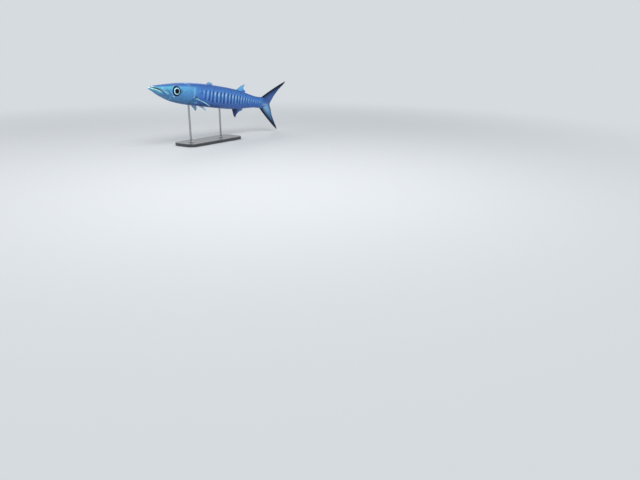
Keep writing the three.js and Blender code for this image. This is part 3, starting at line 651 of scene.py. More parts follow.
def eye_material():
    """A silver iris with fine streaks from the pupil outwards, a black pupil and a dark rim."""
    look = Look("eye")
    radius = look.values("radius")
    places = look.plane(look.product(look.values("around"), 2.2), look.product(radius, 0.6))
    streaks = look.node("TexNoise", "Fac", {"Vector": places, "Scale": 9, "Detail": 5},
                        noise_dimensions="2D")
    silver = look.levels(streaks, (0.3, colour(140, 198, 220)), (0.7, colour(206, 236, 244)))
    # The iris darkens towards its edge as painted shade; its dark rim is partly its own, partly painted shade
    shade = look.levels(radius, (0.55, 1), (0.7, 0.95), (0.82, 0.7))
    inside_rim = look.levels(radius, (0.79, 1), (0.85, 0))
    iris = look.blend(inside_rim, RIM_COLOUR, look.blend(1, silver, shade, "MULTIPLY"))
    outside_pupil = look.levels(look.values("pupil_radius"), (0.585, 0), (0.615, 1))
    return look.painted(
        Base_Color=look.blend(outside_pupil, (0.001, 0.001, 0.002), iris), Roughness=0.35,
        Specular_IOR_Level=0.05, Coat_Weight=0.4, Coat_Roughness=0.03, Coat_IOR=1.3)


def fin_material(name, metallic, roughness):
    """A rayed fin: its marking, paler on the rays, with the rays' joints as fine bumps."""
    look = Look(name)
    rays = look.values("ray")
    mottle = look.levels(look.noise(140, 4), (0.3, 0.84), (0.7, 1.12))
    joints = look.node("TexWave", "Fac", {"Vector": look.plane(look.values("along")), "Scale": 14,
                                          "Distortion": 1.5})
    membrane = look.bump(look.noise(700), 0.3, 0.0004)
    return look.painted(
        Base_Color=look.toned(look.levels(rays, (0, 0.84), (1, 1.16)), mottle),
        Roughness=look.levels(rays, (0, roughness), (1, roughness + 0.12)), Metallic=metallic,
        Normal=look.bump(look.product(joints, rays), 0.12, 0.0004, membrane),
        Specular_IOR_Level=0.25, Specular_Tint=SHEEN_COLOUR, Coat_Weight=0.08, Coat_Roughness=0.2)


def tooth_material():
    look = Look("tooth")
    return look.painted(
        Base_Color=look.levels(look.noise(400), (0.3, colour(196, 206, 206)), (0.7, colour(228, 236, 234))),
        Roughness=0.22)


def base_material():
    """Dark lacquered wood with its grain along the base."""
    look = Look("lacquered_wood")
    grain = look.noise(26, 8, 0.62, (1, 14, 14))
    return look.painted(
        Base_Color=look.levels(grain, (0.3, colour(34, 35, 38)), (0.55, colour(44, 45, 49)),
                               (0.75, colour(58, 59, 64))),
        Roughness=look.levels(grain, (0.3, 0.34), (0.7, 0.46)), Normal=look.bump(grain, 0.12, 0.0006),
        Coat_Weight=0.4, Coat_Roughness=0.25)


def rod_material():
    """Steel brushed round the rods."""
    look = Look("brushed_steel")
    brush = look.noise(60, 6, 0.6, (1, 1, 60))
    return look.painted(
        Base_Color=look.levels(brush, (0.3, colour(150, 152, 155)), (0.7, colour(176, 178, 181))),
        Roughness=look.levels(brush, (0.3, 0.24), (0.7, 0.38)), Normal=look.bump(brush, 0.08, 0.0003),
        Metallic=1)


# Meshes
def mesh_object(name, points, faces):
    data = bpy.data.meshes.new(name)
    data.from_pydata(np.asarray(points).reshape(-1, 3).tolist(), [], faces)
    data.validate()
    data.polygons.foreach_set("use_smooth", [True] * len(data.polygons))
    made = bpy.data.objects.new(name, data)
    bpy.context.scene.collection.objects.link(made)
    return made


def set_colours(made, colours):
    attribute = made.data.attributes.new("marking", "FLOAT_COLOR", "POINT")
    rgba = np.ones((len(colours), 4), np.float32)
    rgba[:, :3] = np.minimum(colours * SILVER_SHIFT, PALEST)
    attribute.data.foreach_set("color", rgba.ravel())


def set_values(made, **values):
    """Numbers for each point, for the materials to read."""
    for name, numbers in values.items():
        attribute = made.data.attributes.new(name, "FLOAT", "POINT")
        attribute.data.foreach_set("value", np.asarray(numbers, np.float32).ravel())


def set_uv(made, u, v):
    """The OFBake map, from one place for each point."""
    corners = np.empty(len(made.data.loops), np.int32)
    made.data.loops.foreach_get("vertex_index", corners)
    places = np.stack([np.ravel(u), np.ravel(v)], -1).astype(np.float32)
    made.data.uv_layers.new(name="OFBake").data.foreach_set("uv", places[corners].ravel())


def grid_faces(rows, columns, first=0, flip=False):
    """Quads of a grid whose rows have that many points."""
    i, j = np.meshgrid(np.arange(rows - 1), np.arange(columns - 1), indexing="ij")
    a = first + i * columns + j
    quads = np.stack([a, a + 1, a + columns + 1, a + columns], -1).reshape(-1, 4)
    return quads[:, ::-1] if flip else quads


def rim_edges(rows, columns):
    """Pairs of neighbouring points round the edge of a grid."""
    last = (rows - 1) * columns
    rim = [*range(columns), *range(2 * columns - 1, last + columns, columns)]
    rim += [*range(last + columns - 2, last - 1, -1), *range(last - columns, 0, -columns)]
    return zip(rim, rim[1:] + rim[:1])


def ring_faces(rings, size, first=0):
    """Quads between closed rings of points."""
    faces = []
    for i, j in itertools.product(range(rings - 1), range(size)):
        a = first + i * size + j
        b = first + i * size + (j + 1) % size
        faces.append([a, b, b + size, a + size])
    return faces


def tube_faces(rings, size, first=0):
    """A closed tube through rings of points, with a flat face over each end."""
    last = first + (rings - 1) * size
    ends = [[*range(first, first + size)][::-1], [*range(last, last + size)]]
    return ring_faces(rings, size, first) + ends


def finish_piece(made, slot_name, material, *nodes):
    made.data.materials.append(material)
    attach(made, "root")
    if nodes:
        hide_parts(*nodes)


# Round places of the body: shares of the way round its section, from the back over the left side
TABLE_STATIONS = np.linspace(0, BODY_END, 270)
TABLE_SHARES = np.linspace(0, 1, 241)
TABLE_ANGLES = np.linspace(0, 2 * math.pi, 721)


def angle_table():
    """For each table station, the angles at even shares of the way round."""
    rows = []
    for station in TABLE_STATIONS:
        width, height, _ = section(np.full_like(TABLE_ANGLES, station), TABLE_ANGLES)
        way = np.concatenate([[0], np.cumsum(np.hypot(np.diff(width), np.diff(height)))])
        rows.append(np.interp(TABLE_SHARES, way / way[-1], TABLE_ANGLES))
    return np.array(rows)


ANGLES = angle_table()


def round_angle(station, share):
    """The angle at a share of the way round the section."""
    x = np.clip(station / BODY_END, 0, 1) * (len(TABLE_STATIONS) - 1)
    y = np.clip(share % 1, 0, 1) * (len(TABLE_SHARES) - 1)
    i = np.minimum(x.astype(int), len(TABLE_STATIONS) - 2)
    j = np.minimum(y.astype(int), len(TABLE_SHARES) - 2)
    u = x - i
    v = y - j
    return ((ANGLES[i, j] * (1 - v) + ANGLES[i, j + 1] * v) * (1 - u)
            + (ANGLES[i + 1, j] * (1 - v) + ANGLES[i + 1, j + 1] * v) * u)


# Skin: a loft of two arcs a ring, one above the mouth line and one below it, with the mouth between them
UPPER_POINTS = 112
LOWER_POINTS = 100
INNER_POINTS = 24
HEAD_STEP = 0.0011
BODY_RINGS = 146
mouth_line_behind_at = smooth_curve([(GAPE_CORNER, -0.028), (0.16, -0.03), (0.25, -0.02),
                                     (HEAD_PLATES_END, 0), (BODY_END, 0)])
LIP_EDGE = 2.2 * MM
LIP_ROUNDING = 1.2 * MM
UPPER_TIP = 0.007
LOWER_TIP = 0.0035
PALATE_VAULT = 0.34
TONGUE_RISE = 0.26
WELD = 2e-6
# The map's margin and its length along the body, and where each part starts across it and how wide it is
UV_MARGIN = 0.02
UV_LENGTH = (1 - 2 * UV_MARGIN) / BODY_END
UPPER_V = (0.05, 0.4)
LOWER_V = (0.5, 0.4)
PALATE_V = (0.92, 0.03)
TONGUE_V = (0.955, 0.03)
COAT_V = (0.05, 0.85)


def skin_stations():
    head = np.arange(0, HEAD_PLATES_END, HEAD_STEP)
    body = np.linspace(HEAD_PLATES_END, BODY_END, BODY_RINGS)
    return np.unique(np.concatenate([head, [GAPE_CORNER], body]))


def split_angles(stations):
    """The angles at which the upper arc ends and the lower arc starts."""
    in_mouth = stations < GAPE_CORNER
    half = np.where(in_mouth, gape_height_at(stations) / 2, 0)
    middle = np.where(in_mouth, gape_middle_at(stations), mouth_line_behind_at(stations))
    return angle_at(stations, middle + half), angle_at(stations, middle - half)


def tip_shares(stations, length):
    """How far each ring is drawn in towards its middle to round a tip."""
    ahead = 1 - np.clip((stations - stations[0]) / length, 0, 1)
    return np.sqrt(np.maximum(1 - ahead ** 2, 0.004))


def arc_rings(stations, first, last, count, tip_length):
    """Rings of skin between two angles, with points closer together at the rounded lips and a round tip."""
    even = np.linspace(0, 1, count)
    shares = 0.65 * even + 0.35 * (1 - np.cos(even * math.pi)) / 2
    angles = first[:, None] + (last - first)[:, None] * shares
    station = np.repeat(stations[:, None], count, axis=1)
    to_edge = np.minimum(shares, 1 - shares)[None, :] * np.abs(last - first)[:, None]
    near = np.clip(1 - to_edge * side_at(station) * STANDARD_LENGTH / LIP_EDGE, 0, 1)
    open_share = 1 - ramp(stations, GAPE_CORNER - 0.02, GAPE_CORNER)
    lift = -COAT - LIP_ROUNDING * open_share[:, None] * near ** 2
    rings, height = skin_point(station.ravel(), (angles % (2 * math.pi)).ravel(), lift.ravel())
    rings = rings.reshape(*station.shape, 3)
    middle = rings.mean(axis=1, keepdims=True)
    rings = middle + (rings - middle) * tip_shares(stations, tip_length)[:, None, None]
    return rings, station, height.reshape(station.shape)


def mouth_rings(arc, bulge, steepness):
    """The mouth's own surface between the two edges of an arc, bulging in the middle."""
    rings, station, height = arc
    in_mouth = station[:, 0] <= GAPE_CORNER
    rings = rings[in_mouth]
    at = station[in_mouth, 0]
    thickness = np.maximum(back_at(at) - gape_middle_at(at), 0) * STANDARD_LENGTH
    vault = bulge * thickness * (1 - ramp(at, 0.08, GAPE_CORNER)) * tip_shares(at, UPPER_TIP)
    t = np.linspace(0, 1, INNER_POINTS)[None, :, None]
    flat = rings[:, -1][:, None] * (1 - t) + rings[:, 0][:, None] * t
    up = directions(at)[2]
    surface = flat + up[:, None] * vault[:, None, None] * (4 * t * (1 - t)) ** steepness
    shape = surface.shape[:2]
    return surface, np.broadcast_to(at[:, None], shape), np.broadcast_to(height[in_mouth, :1], shape)


def close_skin(made):
    """Welds the seams, fills the three small ends and turns all faces outwards."""
    mesh = bmesh.new()
    mesh.from_mesh(made.data)
    bmesh.ops.remove_doubles(mesh, verts=mesh.verts, dist=WELD)
    bmesh.ops.dissolve_degenerate(mesh, edges=mesh.edges, dist=WELD)
    open_edges = [edge for edge in mesh.edges if edge.is_boundary]
    bmesh.ops.holes_fill(mesh, edges=open_edges, sides=0)
    bmesh.ops.recalc_face_normals(mesh, faces=mesh.faces)
    if mesh.calc_volume(signed=True) < 0:
        bmesh.ops.reverse_faces(mesh, faces=mesh.faces)
    mesh.to_mesh(made.data)
    mesh.free()


def fish_skin():
    """The skin of the head and body, in one closed mesh with the inside of the mouth."""
    stations = skin_stations()
    mouth_top = gape_middle_at(stations) + gape_height_at(stations) / 2
    upper_start = int(np.argmax(mouth_top < back_at(stations))) + 1
    upper_end, lower_end = split_angles(stations)
    upper_end = upper_end[upper_start:]
    upper = arc_rings(stations[upper_start:], -upper_end, upper_end, UPPER_POINTS, UPPER_TIP)
    lower = arc_rings(stations, lower_end, 2 * math.pi - lower_end, LOWER_POINTS, LOWER_TIP)
    # Each part, where it lies across the map, and its material: 0 for the skin's and 1 for the mouth's
    parts = [(upper, UPPER_V, 0), (lower, LOWER_V, 0), (mouth_rings(upper, PALATE_VAULT, 0.5), PALATE_V, 1),
             (mouth_rings(lower, TONGUE_RISE, 1.2), TONGUE_V, 1)]
    points = []
    faces = []
    materials = []
    across = []
    for (rings, station, _), (v_start, v_width), material in parts:
        quads = grid_faces(*station.shape, first=sum(map(len, points)))
        points.append(rings.reshape(-1, 3))
        faces += quads.tolist()
        materials += [material] * len(quads)
        v = v_start + v_width * np.linspace(0, 1, station.shape[1])
        across.append(np.broadcast_to(v, station.shape).ravel())
    station, height = (np.concatenate([part[0][k].ravel() for part in parts]) for k in (1, 2))
    made = mesh_object("skin", np.vstack(points), faces)
    set_colours(made, markings(station, height))
    set_uv(made, UV_MARGIN + station * UV_LENGTH, np.concatenate(across))
    made.data.polygons.foreach_set("material_index", materials)
    close_skin(made)
    return made


skin = fish_skin()
finish_piece(skin, "scaled_skin", skin_material(), "head", "lower_jaw", "gill_cover_left",
             "gill_cover_right", "torso", "tail", "tail_stalk")
skin.data.materials.append(mouth_material())


# Scales: rows round the body, staggered like bricks, each scale lying back over the roots of the next rows
SEED = 7
rng = np.random.default_rng(SEED)
SIZE_SPREAD = 0.05
TILT_SPREAD = 0.15
SHARE_SPREAD = 0.0012
# The first and the last station of the rows on the body and on the head
SCALED_BODY = (0.215, 1.022)
SCALED_HEAD = (0.155, 0.32)
ROWS_ROUND = 60
SCALE_PITCH = 4.3 * MM
# Where the body's scales start, as (height, station)
scales_start_at = smooth_curve([
    (-0.08, 0.262), (-0.071, 0.264), (-0.059, 0.271), (-0.0475, 0.293), (-0.0285, 0.3145),
    (-0.0085, 0.3225), (0.0125, 0.3125), (0.0345, 0.3015), (0.0495, 0.28), (0.054, 0.245), (0.07, 0.215)])
# Pieces of the body's coat, and the station where each one starts
COAT_PIECES = {"scales_shoulder": 0, "scales_middle": 0.42, "scales_rear": 0.62, "scales_stalk": 0.82}
SCALE_LENGTH = 2.1
SCALE_WIDTH = 0.66
SCALE_ROWS = 4
SCALE_COLUMNS = 5
SCALE_ROOT = 0.25 * MM
SCALE_TIP = 0.26 * MM
SCALE_DOME = 0.04 * MM
SCALE_UNDER = 0.55 * MM
SCALE_SINK = 0.6 * MM
SCALE_FOLD = 60
# Shares of a scale's length: how much of it lies before its row's line, and where its root's colour is taken
SCALE_AHEAD = 0.3
SCALE_COLOURED_AT = 0.2
PATCH = 0.003
MID_GIRTH = 0.24
CHEEK = [(0.163, -0.031), (0.175, -0.026), (0.205, -0.021), (0.213, 0), (0.214, 0.018), (0.2285, 0.02),
         (0.224, 0), (0.2245, -0.024), (0.232, -0.048), (0.214, -0.0535), (0.19, -0.0535), (0.17, -0.047)]
# Scales of the head: pitch, how many go round, their outline, and how far inside it they stay. They rise
# less than the body's.
HEAD_SCALES = {
    "scales_cheeks": (2.9 * MM, 92, rounded(CHEEK), 0.3 * MM),
    "scales_gill_covers": (3.9 * MM, 66, gill_cover, 6.5 * MM),
}
HEAD_LIFT = 0.6


def size_along(station):
    """How large the scales are along the body, against those of its middle."""
    girth = (back_at(station) + belly_at(station) + 2 * side_at(station)) / MID_GIRTH
    return np.clip(girth, 0.2, 1) ** 0.65


def side_height(station, share):
    return section(station, round_angle(station, share))[1]


def scale_rows(first, last, pitch, rows_round):
    """Stations and round shares of staggered rows."""
    stations = []
    station = first
    while station < last:
        stations.append(station)
        station += pitch * size_along(station) / STANDARD_LENGTH
    stagger = 0.25 + 0.5 * (np.arange(len(stations)) % 2)
    shares = (np.arange(rows_round) + stagger[:, None]) / rows_round
    return np.repeat(stations, rows_round), shares.ravel()


def scale_template():
    """Shares along and across a scale, and its faces: a domed top and a shallow underside."""
    across = np.linspace(-1, 1, SCALE_COLUMNS)
    reach = 0.55 + 0.45 * np.sqrt(1 - 0.96 * across ** 2)
    along = np.linspace(0, 1, SCALE_ROWS)[:, None] * reach
    across = np.broadcast_to(across, along.shape) * (1 - 0.25 * (1 - along / reach) ** 2)
    top = grid_faces(SCALE_ROWS, SCALE_COLUMNS).tolist()
    under = [[b, a, along.size] for a, b in rim_edges(SCALE_ROWS, SCALE_COLUMNS)]
    return np.append(along, 0.45), np.append(across, 0), top + under


ALONG, ACROSS, SCALE_FACES = scale_template()


def scales(name, station, share, pitch, rows_round, shown, lift=1):
    """One coat piece from the roots of its scales. Shown is 0 where a scale has sunk into the skin."""
    count = len(station)
    size = 1 + SIZE_SPREAD * rng.standard_normal(count)
    tilt = 1 + TILT_SPREAD * rng.standard_normal(count)
    tone = rng.random(count)
    length = pitch * size_along(station) * SCALE_LENGTH / STANDARD_LENGTH * size
    half = SCALE_WIDTH / rows_round * size
    at = station[:, None] + length[:, None] * (ALONG - SCALE_AHEAD)
    angle = round_angle(at, share[:, None] + half[:, None] * ACROSS)
    top = -SCALE_ROOT + (SCALE_ROOT + SCALE_TIP * tilt[:, None]) * ALONG ** 1.3
    top = top + SCALE_DOME * (1 - ACROSS ** 2)
    top[:, -1] = -SCALE_UNDER
    shrink = np.clip(size_along(station), 0.5, 1)[:, None]
    sunk = SCALE_SINK * (1 - shown)[:, None]
    points, height = skin_point(at.ravel(), angle.ravel(), (top * shrink * lift - sunk - COAT).ravel())
    corners = len(ALONG)
    faces = [[k * corners + v for v in face] for k in range(count) for face in SCALE_FACES]
    made = mesh_object(name, points, faces)
    made.data.set_sharp_from_angle(angle=math.radians(SCALE_FOLD))
    root = np.repeat(station + length * SCALE_COLOURED_AT, corners)
    root_height = section(root, np.repeat(round_angle(station, share), corners))[1]
    set_colours(made, 0.5 * markings(at.ravel(), height) + 0.5 * markings(root, root_height))
    set_values(made, tone=np.repeat(tone, corners), along=np.tile(ALONG, count))
    set_uv(made, (UV_MARGIN + station * UV_LENGTH)[:, None] + (ALONG - 0.5) * PATCH,
           (COAT_V[0] + COAT_V[1] * (share % 1))[:, None] + ACROSS * PATCH / 2)
    return made


def body_scales():
    station, share = scale_rows(*SCALED_BODY, SCALE_PITCH, ROWS_ROUND)
    from_start = station - scales_start_at(side_height(station, share))
    shown = ramp(from_start, 0, 0.02) * (1 - ramp(station, 0.985, 1.026))
    station, share, shown = (values[from_start > 0.006] for values in (station, share, shown))
    share = share + SHARE_SPREAD * rng.standard_normal(len(share))
    piece = np.searchsorted([*COAT_PIECES.values()], station, side="right") - 1
    return [scales(name, station[piece == k], share[piece == k], SCALE_PITCH, ROWS_ROUND, shown[piece == k])
            for k, name in enumerate(COAT_PIECES)]


def head_scales():
    made = []
    for name, (pitch, rows_round, outline, inset) in HEAD_SCALES.items():
        station, share = scale_rows(*SCALED_HEAD, pitch, rows_round)
        inside = inside_distance(outline, station, side_height(station, share))
        station, share, inside = (values[inside > inset] for values in (station, share, inside))
        shown = 0.35 + 0.65 * ramp(inside, inset, inset + 7 * MM)
        share = share + SHARE_SPREAD / 2 * rng.standard_normal(len(share))
        made.append(scales(name, station, share, pitch, rows_round, shown, HEAD_LIFT))
    return made


coat_material = scales_material()
for piece in body_scales() + head_scales():
    finish_piece(piece, "scaled_skin", coat_material)


# Eyes
EYE_RINGS = 40
EYE_ROUND = 72


def eye(side, name, node, material):
    """A glass-like eye: a flattened ball with a slightly drawn-out pupil."""
    station, height = EYE["station"], EYE["height"]
    tail, left, up = directions(station)
    out = unit(left * side - tail * math.tan(math.radians(EYE["forward"]))
               + up * math.tan(math.radians(EYE["up"])))
    across = unit(np.cross(up, out))
    upward = np.cross(out, across)
    middle = place(station, half_width_at(station, height) * side, height) - out * EYE["sunk"]
    # The points of the rings, then the front pole and the rear one
    polar, around = np.meshgrid(np.linspace(0, math.pi * EYE["wrap"], EYE_RINGS)[1:],
                                np.linspace(0, 2 * math.pi, EYE_ROUND, endpoint=False), indexing="ij")
    x = np.append(np.sin(polar) * np.cos(around), [0, 0])
    y = np.append(np.sin(polar) * np.sin(around), [0, 0])
    z = np.append(np.cos(polar), [1, np.cos(polar).min()])
    points = (middle + across * (x * EYE["radius"])[:, None] + upward * (y * EYE["radius"])[:, None]
              + out * (z * EYE["bulge"])[:, None])
    faces = ring_faces(EYE_RINGS - 1, EYE_ROUND)
    front = polar.size
    last = front - EYE_ROUND
    for j in range(EYE_ROUND):
        following = (j + 1) % EYE_ROUND
        faces += [[front, following, j], [front + 1, last + j, last + following]]
    made = mesh_object(name, points, [face[::-1] for face in faces])
    radius = np.hypot(x, y)
    ahead = np.clip(x * float(across @ -tail), 0, 1)
    set_values(made, pupil_radius=radius / (1 + EYE["drawn_out"] * ahead),
               radius=np.where(z < 0, 1, radius), around=np.arctan2(y, x))
    set_uv(made, x * 0.45 + 0.5, y * 0.45 + 0.5)
    finish_piece(made, "eye", material, node)


glass = eye_material()
eye(1, "eye_of_left_side", "eye_left", glass)
eye(-1, "eye_of_right_side", "eye_right", glass)


# Fins. Membranes, ridges and roots are so many millimetres thick. Roots and margins are lines of (share of
# the way from the leading edge to the rear, station, half-width, height). Colours are those of the root, the
# blade and the rear, and dark says how dark the leading edge and the margin are.
SOFT_FIN = {"membrane": 0.6, "ridge": 1, "root_thickness": 2, "scallop": 0.02, "spiny": False, "side": 1,
            "bow": 0, "flare": 0, "slot": "pale_fin"}
PECTORAL = {
    **SOFT_FIN, "rays": 13, "membrane": 0.9, "ridge": 0.9, "root_thickness": 3, "flare": 0.0035,
    "root": [(0, 0.3205, 0.041, -0.0135), (1, 0.329, 0.04, -0.029)], "dark": (0, 0.1),
}
PELVIC = {
    **SOFT_FIN, "rays": 6, "membrane": 0.5, "ridge": 0.9, "root_thickness": 2.5,
    "root": [(0, 0.399, 0.0125, -0.064), (1, 0.411, 0.0075, -0.066)], "dark": (0, 0.1),
}
FINS = {
    "caudal": {
        **SOFT_FIN, "rays": 20, "ridge": 1.1, "root_thickness": 4.8, "scallop": 0.012, "bow": 0.0065,
        "slot": "dark_fin", "nodes": ("fin_caudal_upper", "fin_caudal_lower"),
        "root": [(0, 0.968, 0, 0.03), (0.1, 0.985, 0, 0.03), (0.5, 0.99, 0, 0), (0.9, 0.985, 0, -0.033),
                 (1, 0.968, 0, -0.033)],
        "margin": [(0, 1.182, 0.002, 0.17), (0.06, 1.177, 0.002, 0.158), (0.175, 1.131, 0.001, 0.108),
                   (0.3, 1.098, 0, 0.065), (0.41, 1.079, 0, 0.031), (0.5, 1.064, 0, 0),
                   (0.59, 1.08, 0, -0.0325), (0.7, 1.096, 0.001, -0.067), (0.825, 1.126, 0.0035, -0.1125),
                   (0.94, 1.166, 0.0065, -0.1645), (1, 1.171, 0.007, -0.177)],
    },
    "anal": {
        **SOFT_FIN, "rays": 10, "slot": "dark_fin",
        "root": [(0, 0.728, 0, -0.057), (1, 0.815, 0, -0.047)],
        "margin": [(0, 0.756, 0, -0.106), (0.11, 0.7725, 0, -0.1202), (0.3, 0.779, 0, -0.103),
                   (0.5, 0.787, 0, -0.09), (0.75, 0.802, 0, -0.0768), (1, 0.83, 0, -0.065)],
        "colours": ((34, 62, 140), (26, 44, 112), (76, 116, 202)), "dark": (0.8, 0.45),
    },
    "dorsal_first": {
        **SOFT_FIN, "rays": 5, "spiny": True, "membrane": 0.7, "ridge": 1.3, "root_thickness": 1.6,
        "scallop": 0.2,
        "root": [(0, 0.445, 0, 0.0595), (1, 0.498, 0, 0.0615)],
        "margin": [(0, 0.476, 0, 0.0862), (0.25, 0.489, 0, 0.0848), (0.5, 0.5, 0, 0.0825),
                   (0.75, 0.509, 0, 0.0795), (1, 0.517, 0, 0.076)],
        "colours": ((52, 98, 190), (96, 156, 232), (72, 124, 216)), "dark": (0.35, 0.15),
    },
    "dorsal_second": {
        **SOFT_FIN, "rays": 10,
        "root": [(0, 0.733, 0, 0.055), (1, 0.817, 0, 0.046)],
        "margin": [(0, 0.79, 0, 0.0945), (0.11, 0.8185, 0, 0.1072), (0.3, 0.812, 0, 0.093),
                   (0.5, 0.809, 0, 0.0825), (0.75, 0.815, 0, 0.072), (1, 0.833, 0, 0.0615)],
        "colours": ((96, 182, 242), (80, 156, 238), (60, 110, 216)), "dark": (0.3, 0.35),
    },
    "pectoral_left": {
        **PECTORAL,
        "margin": [(0, 0.436, 0.0785, -0.0592), (0.3, 0.4375, 0.066, -0.0545),
                   (0.65, 0.428, 0.0545, -0.046), (1, 0.404, 0.051, -0.036)],
        # The root is painted dark as painted shade where the fin meets the body
        "colours": ((44, 92, 156), (138, 208, 252), (112, 188, 246)),
    },
    "pectoral_right": {
        **PECTORAL, "side": -1, "flare": 0.007,
        "margin": [(0, 0.4375, 0.0405, -0.1068), (0.35, 0.4475, 0.0415, -0.0905),
                   (0.7, 0.436, 0.0445, -0.0705), (1, 0.408, 0.0485, -0.052)],
        # Painted light: the far fin is painted brighter to offset the shade it lies in
        "colours": ((96, 148, 228), (128, 184, 250), (112, 164, 240)),
    },
    "pelvic_left": {
        **PELVIC,
        "margin": [(0, 0.454, 0.03, -0.095), (0.35, 0.456, 0.0235, -0.084), (1, 0.452, 0.0105, -0.0742)],
        "colours": ((84, 144, 220), (122, 184, 248), (92, 144, 230)),
    },
    "pelvic_right": {
        **PELVIC, "side": -1,
        "margin": [(0, 0.454, 0.019, -0.0785), (0.35, 0.452, 0.013, -0.078), (1, 0.443, 0.0065, -0.0775)],
        # The far fin is painted a little darker than the near one, as painted shade
        "colours": ((80, 136, 216), (108, 164, 242), (88, 136, 226)),
    },
}
FIN_EDGE = colour(6, 13, 44)
CAUDAL_ROOT = colour(34, 72, 134)
CAUDAL_UPPER = colour(48, 80, 164)
CAUDAL_LOWER = colour(84, 138, 212)
CAUDAL_SHADE = colour(22, 50, 98)
FORK_SHARE = 0.22
FIN_ROWS = 44
COLUMNS_PER_RAY = 8
BRANCH_START = 0.42
BRANCH_SPREAD = 0.24
RIPPLE = 0.0008
NUDGE = 0.004


def fin_surface(shape, u, v):
    """The middle of a fin. u runs from the leading edge to the rear one, v from the root to the margin."""
    root, margin = ([smooth_curve([(row[0], row[k]) for row in shape[line]])(u) for k in (1, 2, 3)]
                    for line in ("root", "margin"))
    station, left, up = (a + (b - a) * v for a, b in zip(root, margin))
    arch = 4 * v * (1 - v)
    up = up + shape["bow"] * arch * np.abs(1 - 2 * u) * np.sign(up)
    left = (left + shape["flare"] * arch) * shape["side"]
    ripple = RIPPLE * np.sin(u * shape["rays"] * 1.7 + v * 5) * v * 4 * u * (1 - u)
    return place(station, left + ripple, up)


def ray_ridges(shape, u, v):
    """How strongly a ray stands out at each place: soft rays part in two on their way out."""
    at = u * (shape["rays"] - 1)
    offset = at - np.round(at)
    spread = 0 if shape["spiny"] else BRANCH_SPREAD * ramp(v, BRANCH_START, 0.95)
    width = 0.16 if shape["spiny"] else 0.17 - 0.07 * v
    return np.maximum(bell(offset - spread, width), bell(offset + spread, width))


def caudal_colours(u, v):
    """Black leading edges, a dark rear margin, a darker upper lobe and a painted highlight on the root."""
    lead = np.abs(1 - 2 * u)
    # Painted shade and light: the upper lobe is painted darker and the lower one lighter
    upper = layered(CAUDAL_ROOT, (CAUDAL_UPPER, ramp(v, 0.1, 0.55)))
    lower = layered(CAUDAL_ROOT, (CAUDAL_LOWER, ramp(v, 0.05, 0.3) * (1 - 0.6 * ramp(v, 0.6, 0.95))))
    from_margin = (1 - v) * (FORK_SHARE + (1 - FORK_SHARE) * lead)
    margin = (1 - ramp(from_margin, 0.012, 0.04)) * (0.5 + 0.45 * ramp(u, 0.46, 0.54))
    dark = np.maximum(ramp(lead, 0.66, 0.84), margin)
    return layered(
        upper, (lower, ramp(u, 0.46, 0.56)),
        # A painted highlight on the lower lobe's root
        (CAUDAL_ROOT_HIGHLIGHT, 0.55 * bell(u - 0.6, 0.07) * bell(v - 0.2, 0.22)),
        (CAUDAL_SHADE, 0.75 * ramp(lead, 0.3, 0.72)), (FIN_EDGE, 0.93 * dark))


def fin_colours(shape, u, v):
    """From the root's colour to the blade's, with a darker leading edge and margin."""
    root, blade, rear = (colour(*tint) for tint in shape["colours"])
    lead_share, margin_share = shape["dark"]
    dark = np.maximum(lead_share * (1 - ramp(u, 0.02, 0.13)), margin_share * ramp(v, 0.82, 1))
    return layered(root, (blade, ramp(v, 0, 0.35)), (rear, ramp(u, 0.3, 0.9)), (FIN_EDGE, dark))


def fin(kind, shape, material):
    """A fin with two sides, thick at its root and thin at its edge, with its rays raised on both."""
    columns = COLUMNS_PER_RAY * (shape["rays"] - 1) + 1
    u = np.linspace(0, 1, columns)[None, :].repeat(FIN_ROWS, 0)
    at = u * (shape["rays"] - 1)
    reach = 1 - shape["scallop"] * (1 - np.abs(2 * (at - np.floor(at)) - 1))
    v = np.linspace(0, 1, FIN_ROWS)[:, None] * reach
    rearward = fin_surface(shape, np.minimum(u + NUDGE, 1), v)
    across = rearward - fin_surface(shape, np.maximum(u - NUDGE, 0), v)
    along = fin_surface(shape, u, np.minimum(v + NUDGE, 1)) - fin_surface(shape, u, v - NUDGE)
    normal = unit(np.cross(across, along))
    ray = ray_ridges(shape, u, v)
    thick = shape["membrane"] + (shape["root_thickness"] - shape["membrane"]) * (1 - v) ** 3
    thick = thick + shape["ridge"] * ray * (1 - 0.72 * v)
    to_edge = np.minimum(np.minimum(u, 1 - u) * columns / 3, (reach - v) * FIN_ROWS / 3)
    half = (thick * MM / 2 * (0.35 + 0.65 * ramp(to_edge, 0, 1)))[..., None]
    middle = fin_surface(shape, u, v)
    points = np.stack([middle + normal * half, middle - normal * half])
    size = u.size
    quads = np.vstack([grid_faces(FIN_ROWS, columns), grid_faces(FIN_ROWS, columns, size, True)]).tolist()
    quads += [[b, a, size + a, size + b] for a, b in rim_edges(FIN_ROWS, columns)]
    made = mesh_object(f"fin_{kind}_rayed", points, quads)
    colours = fin_colours(shape, u, v) if "colours" in shape else caudal_colours(u, v)
    set_colours(made, np.tile(colours.reshape(-1, 3), (2, 1)))
    set_values(made, ray=[ray, ray], along=[v, v])
    set_uv(made, [u * 0.48 + 0.01, u * 0.48 + 0.51], [v * 0.96 + 0.02] * 2)
    finish_piece(made, shape["slot"], material, *shape.get("nodes", (f"fin_{kind}",)))


# Fin materials, with their metallic share and how rough their membrane is
fin_materials = {name: fin_material(name, *values)
                 for name, values in {"dark_fin": (0.1, 0.36), "pale_fin": (0.2, 0.3)}.items()}
for fin_kind, fin_shape in FINS.items():
    fin(fin_kind, fin_shape, fin_materials[fin_shape["slot"]])


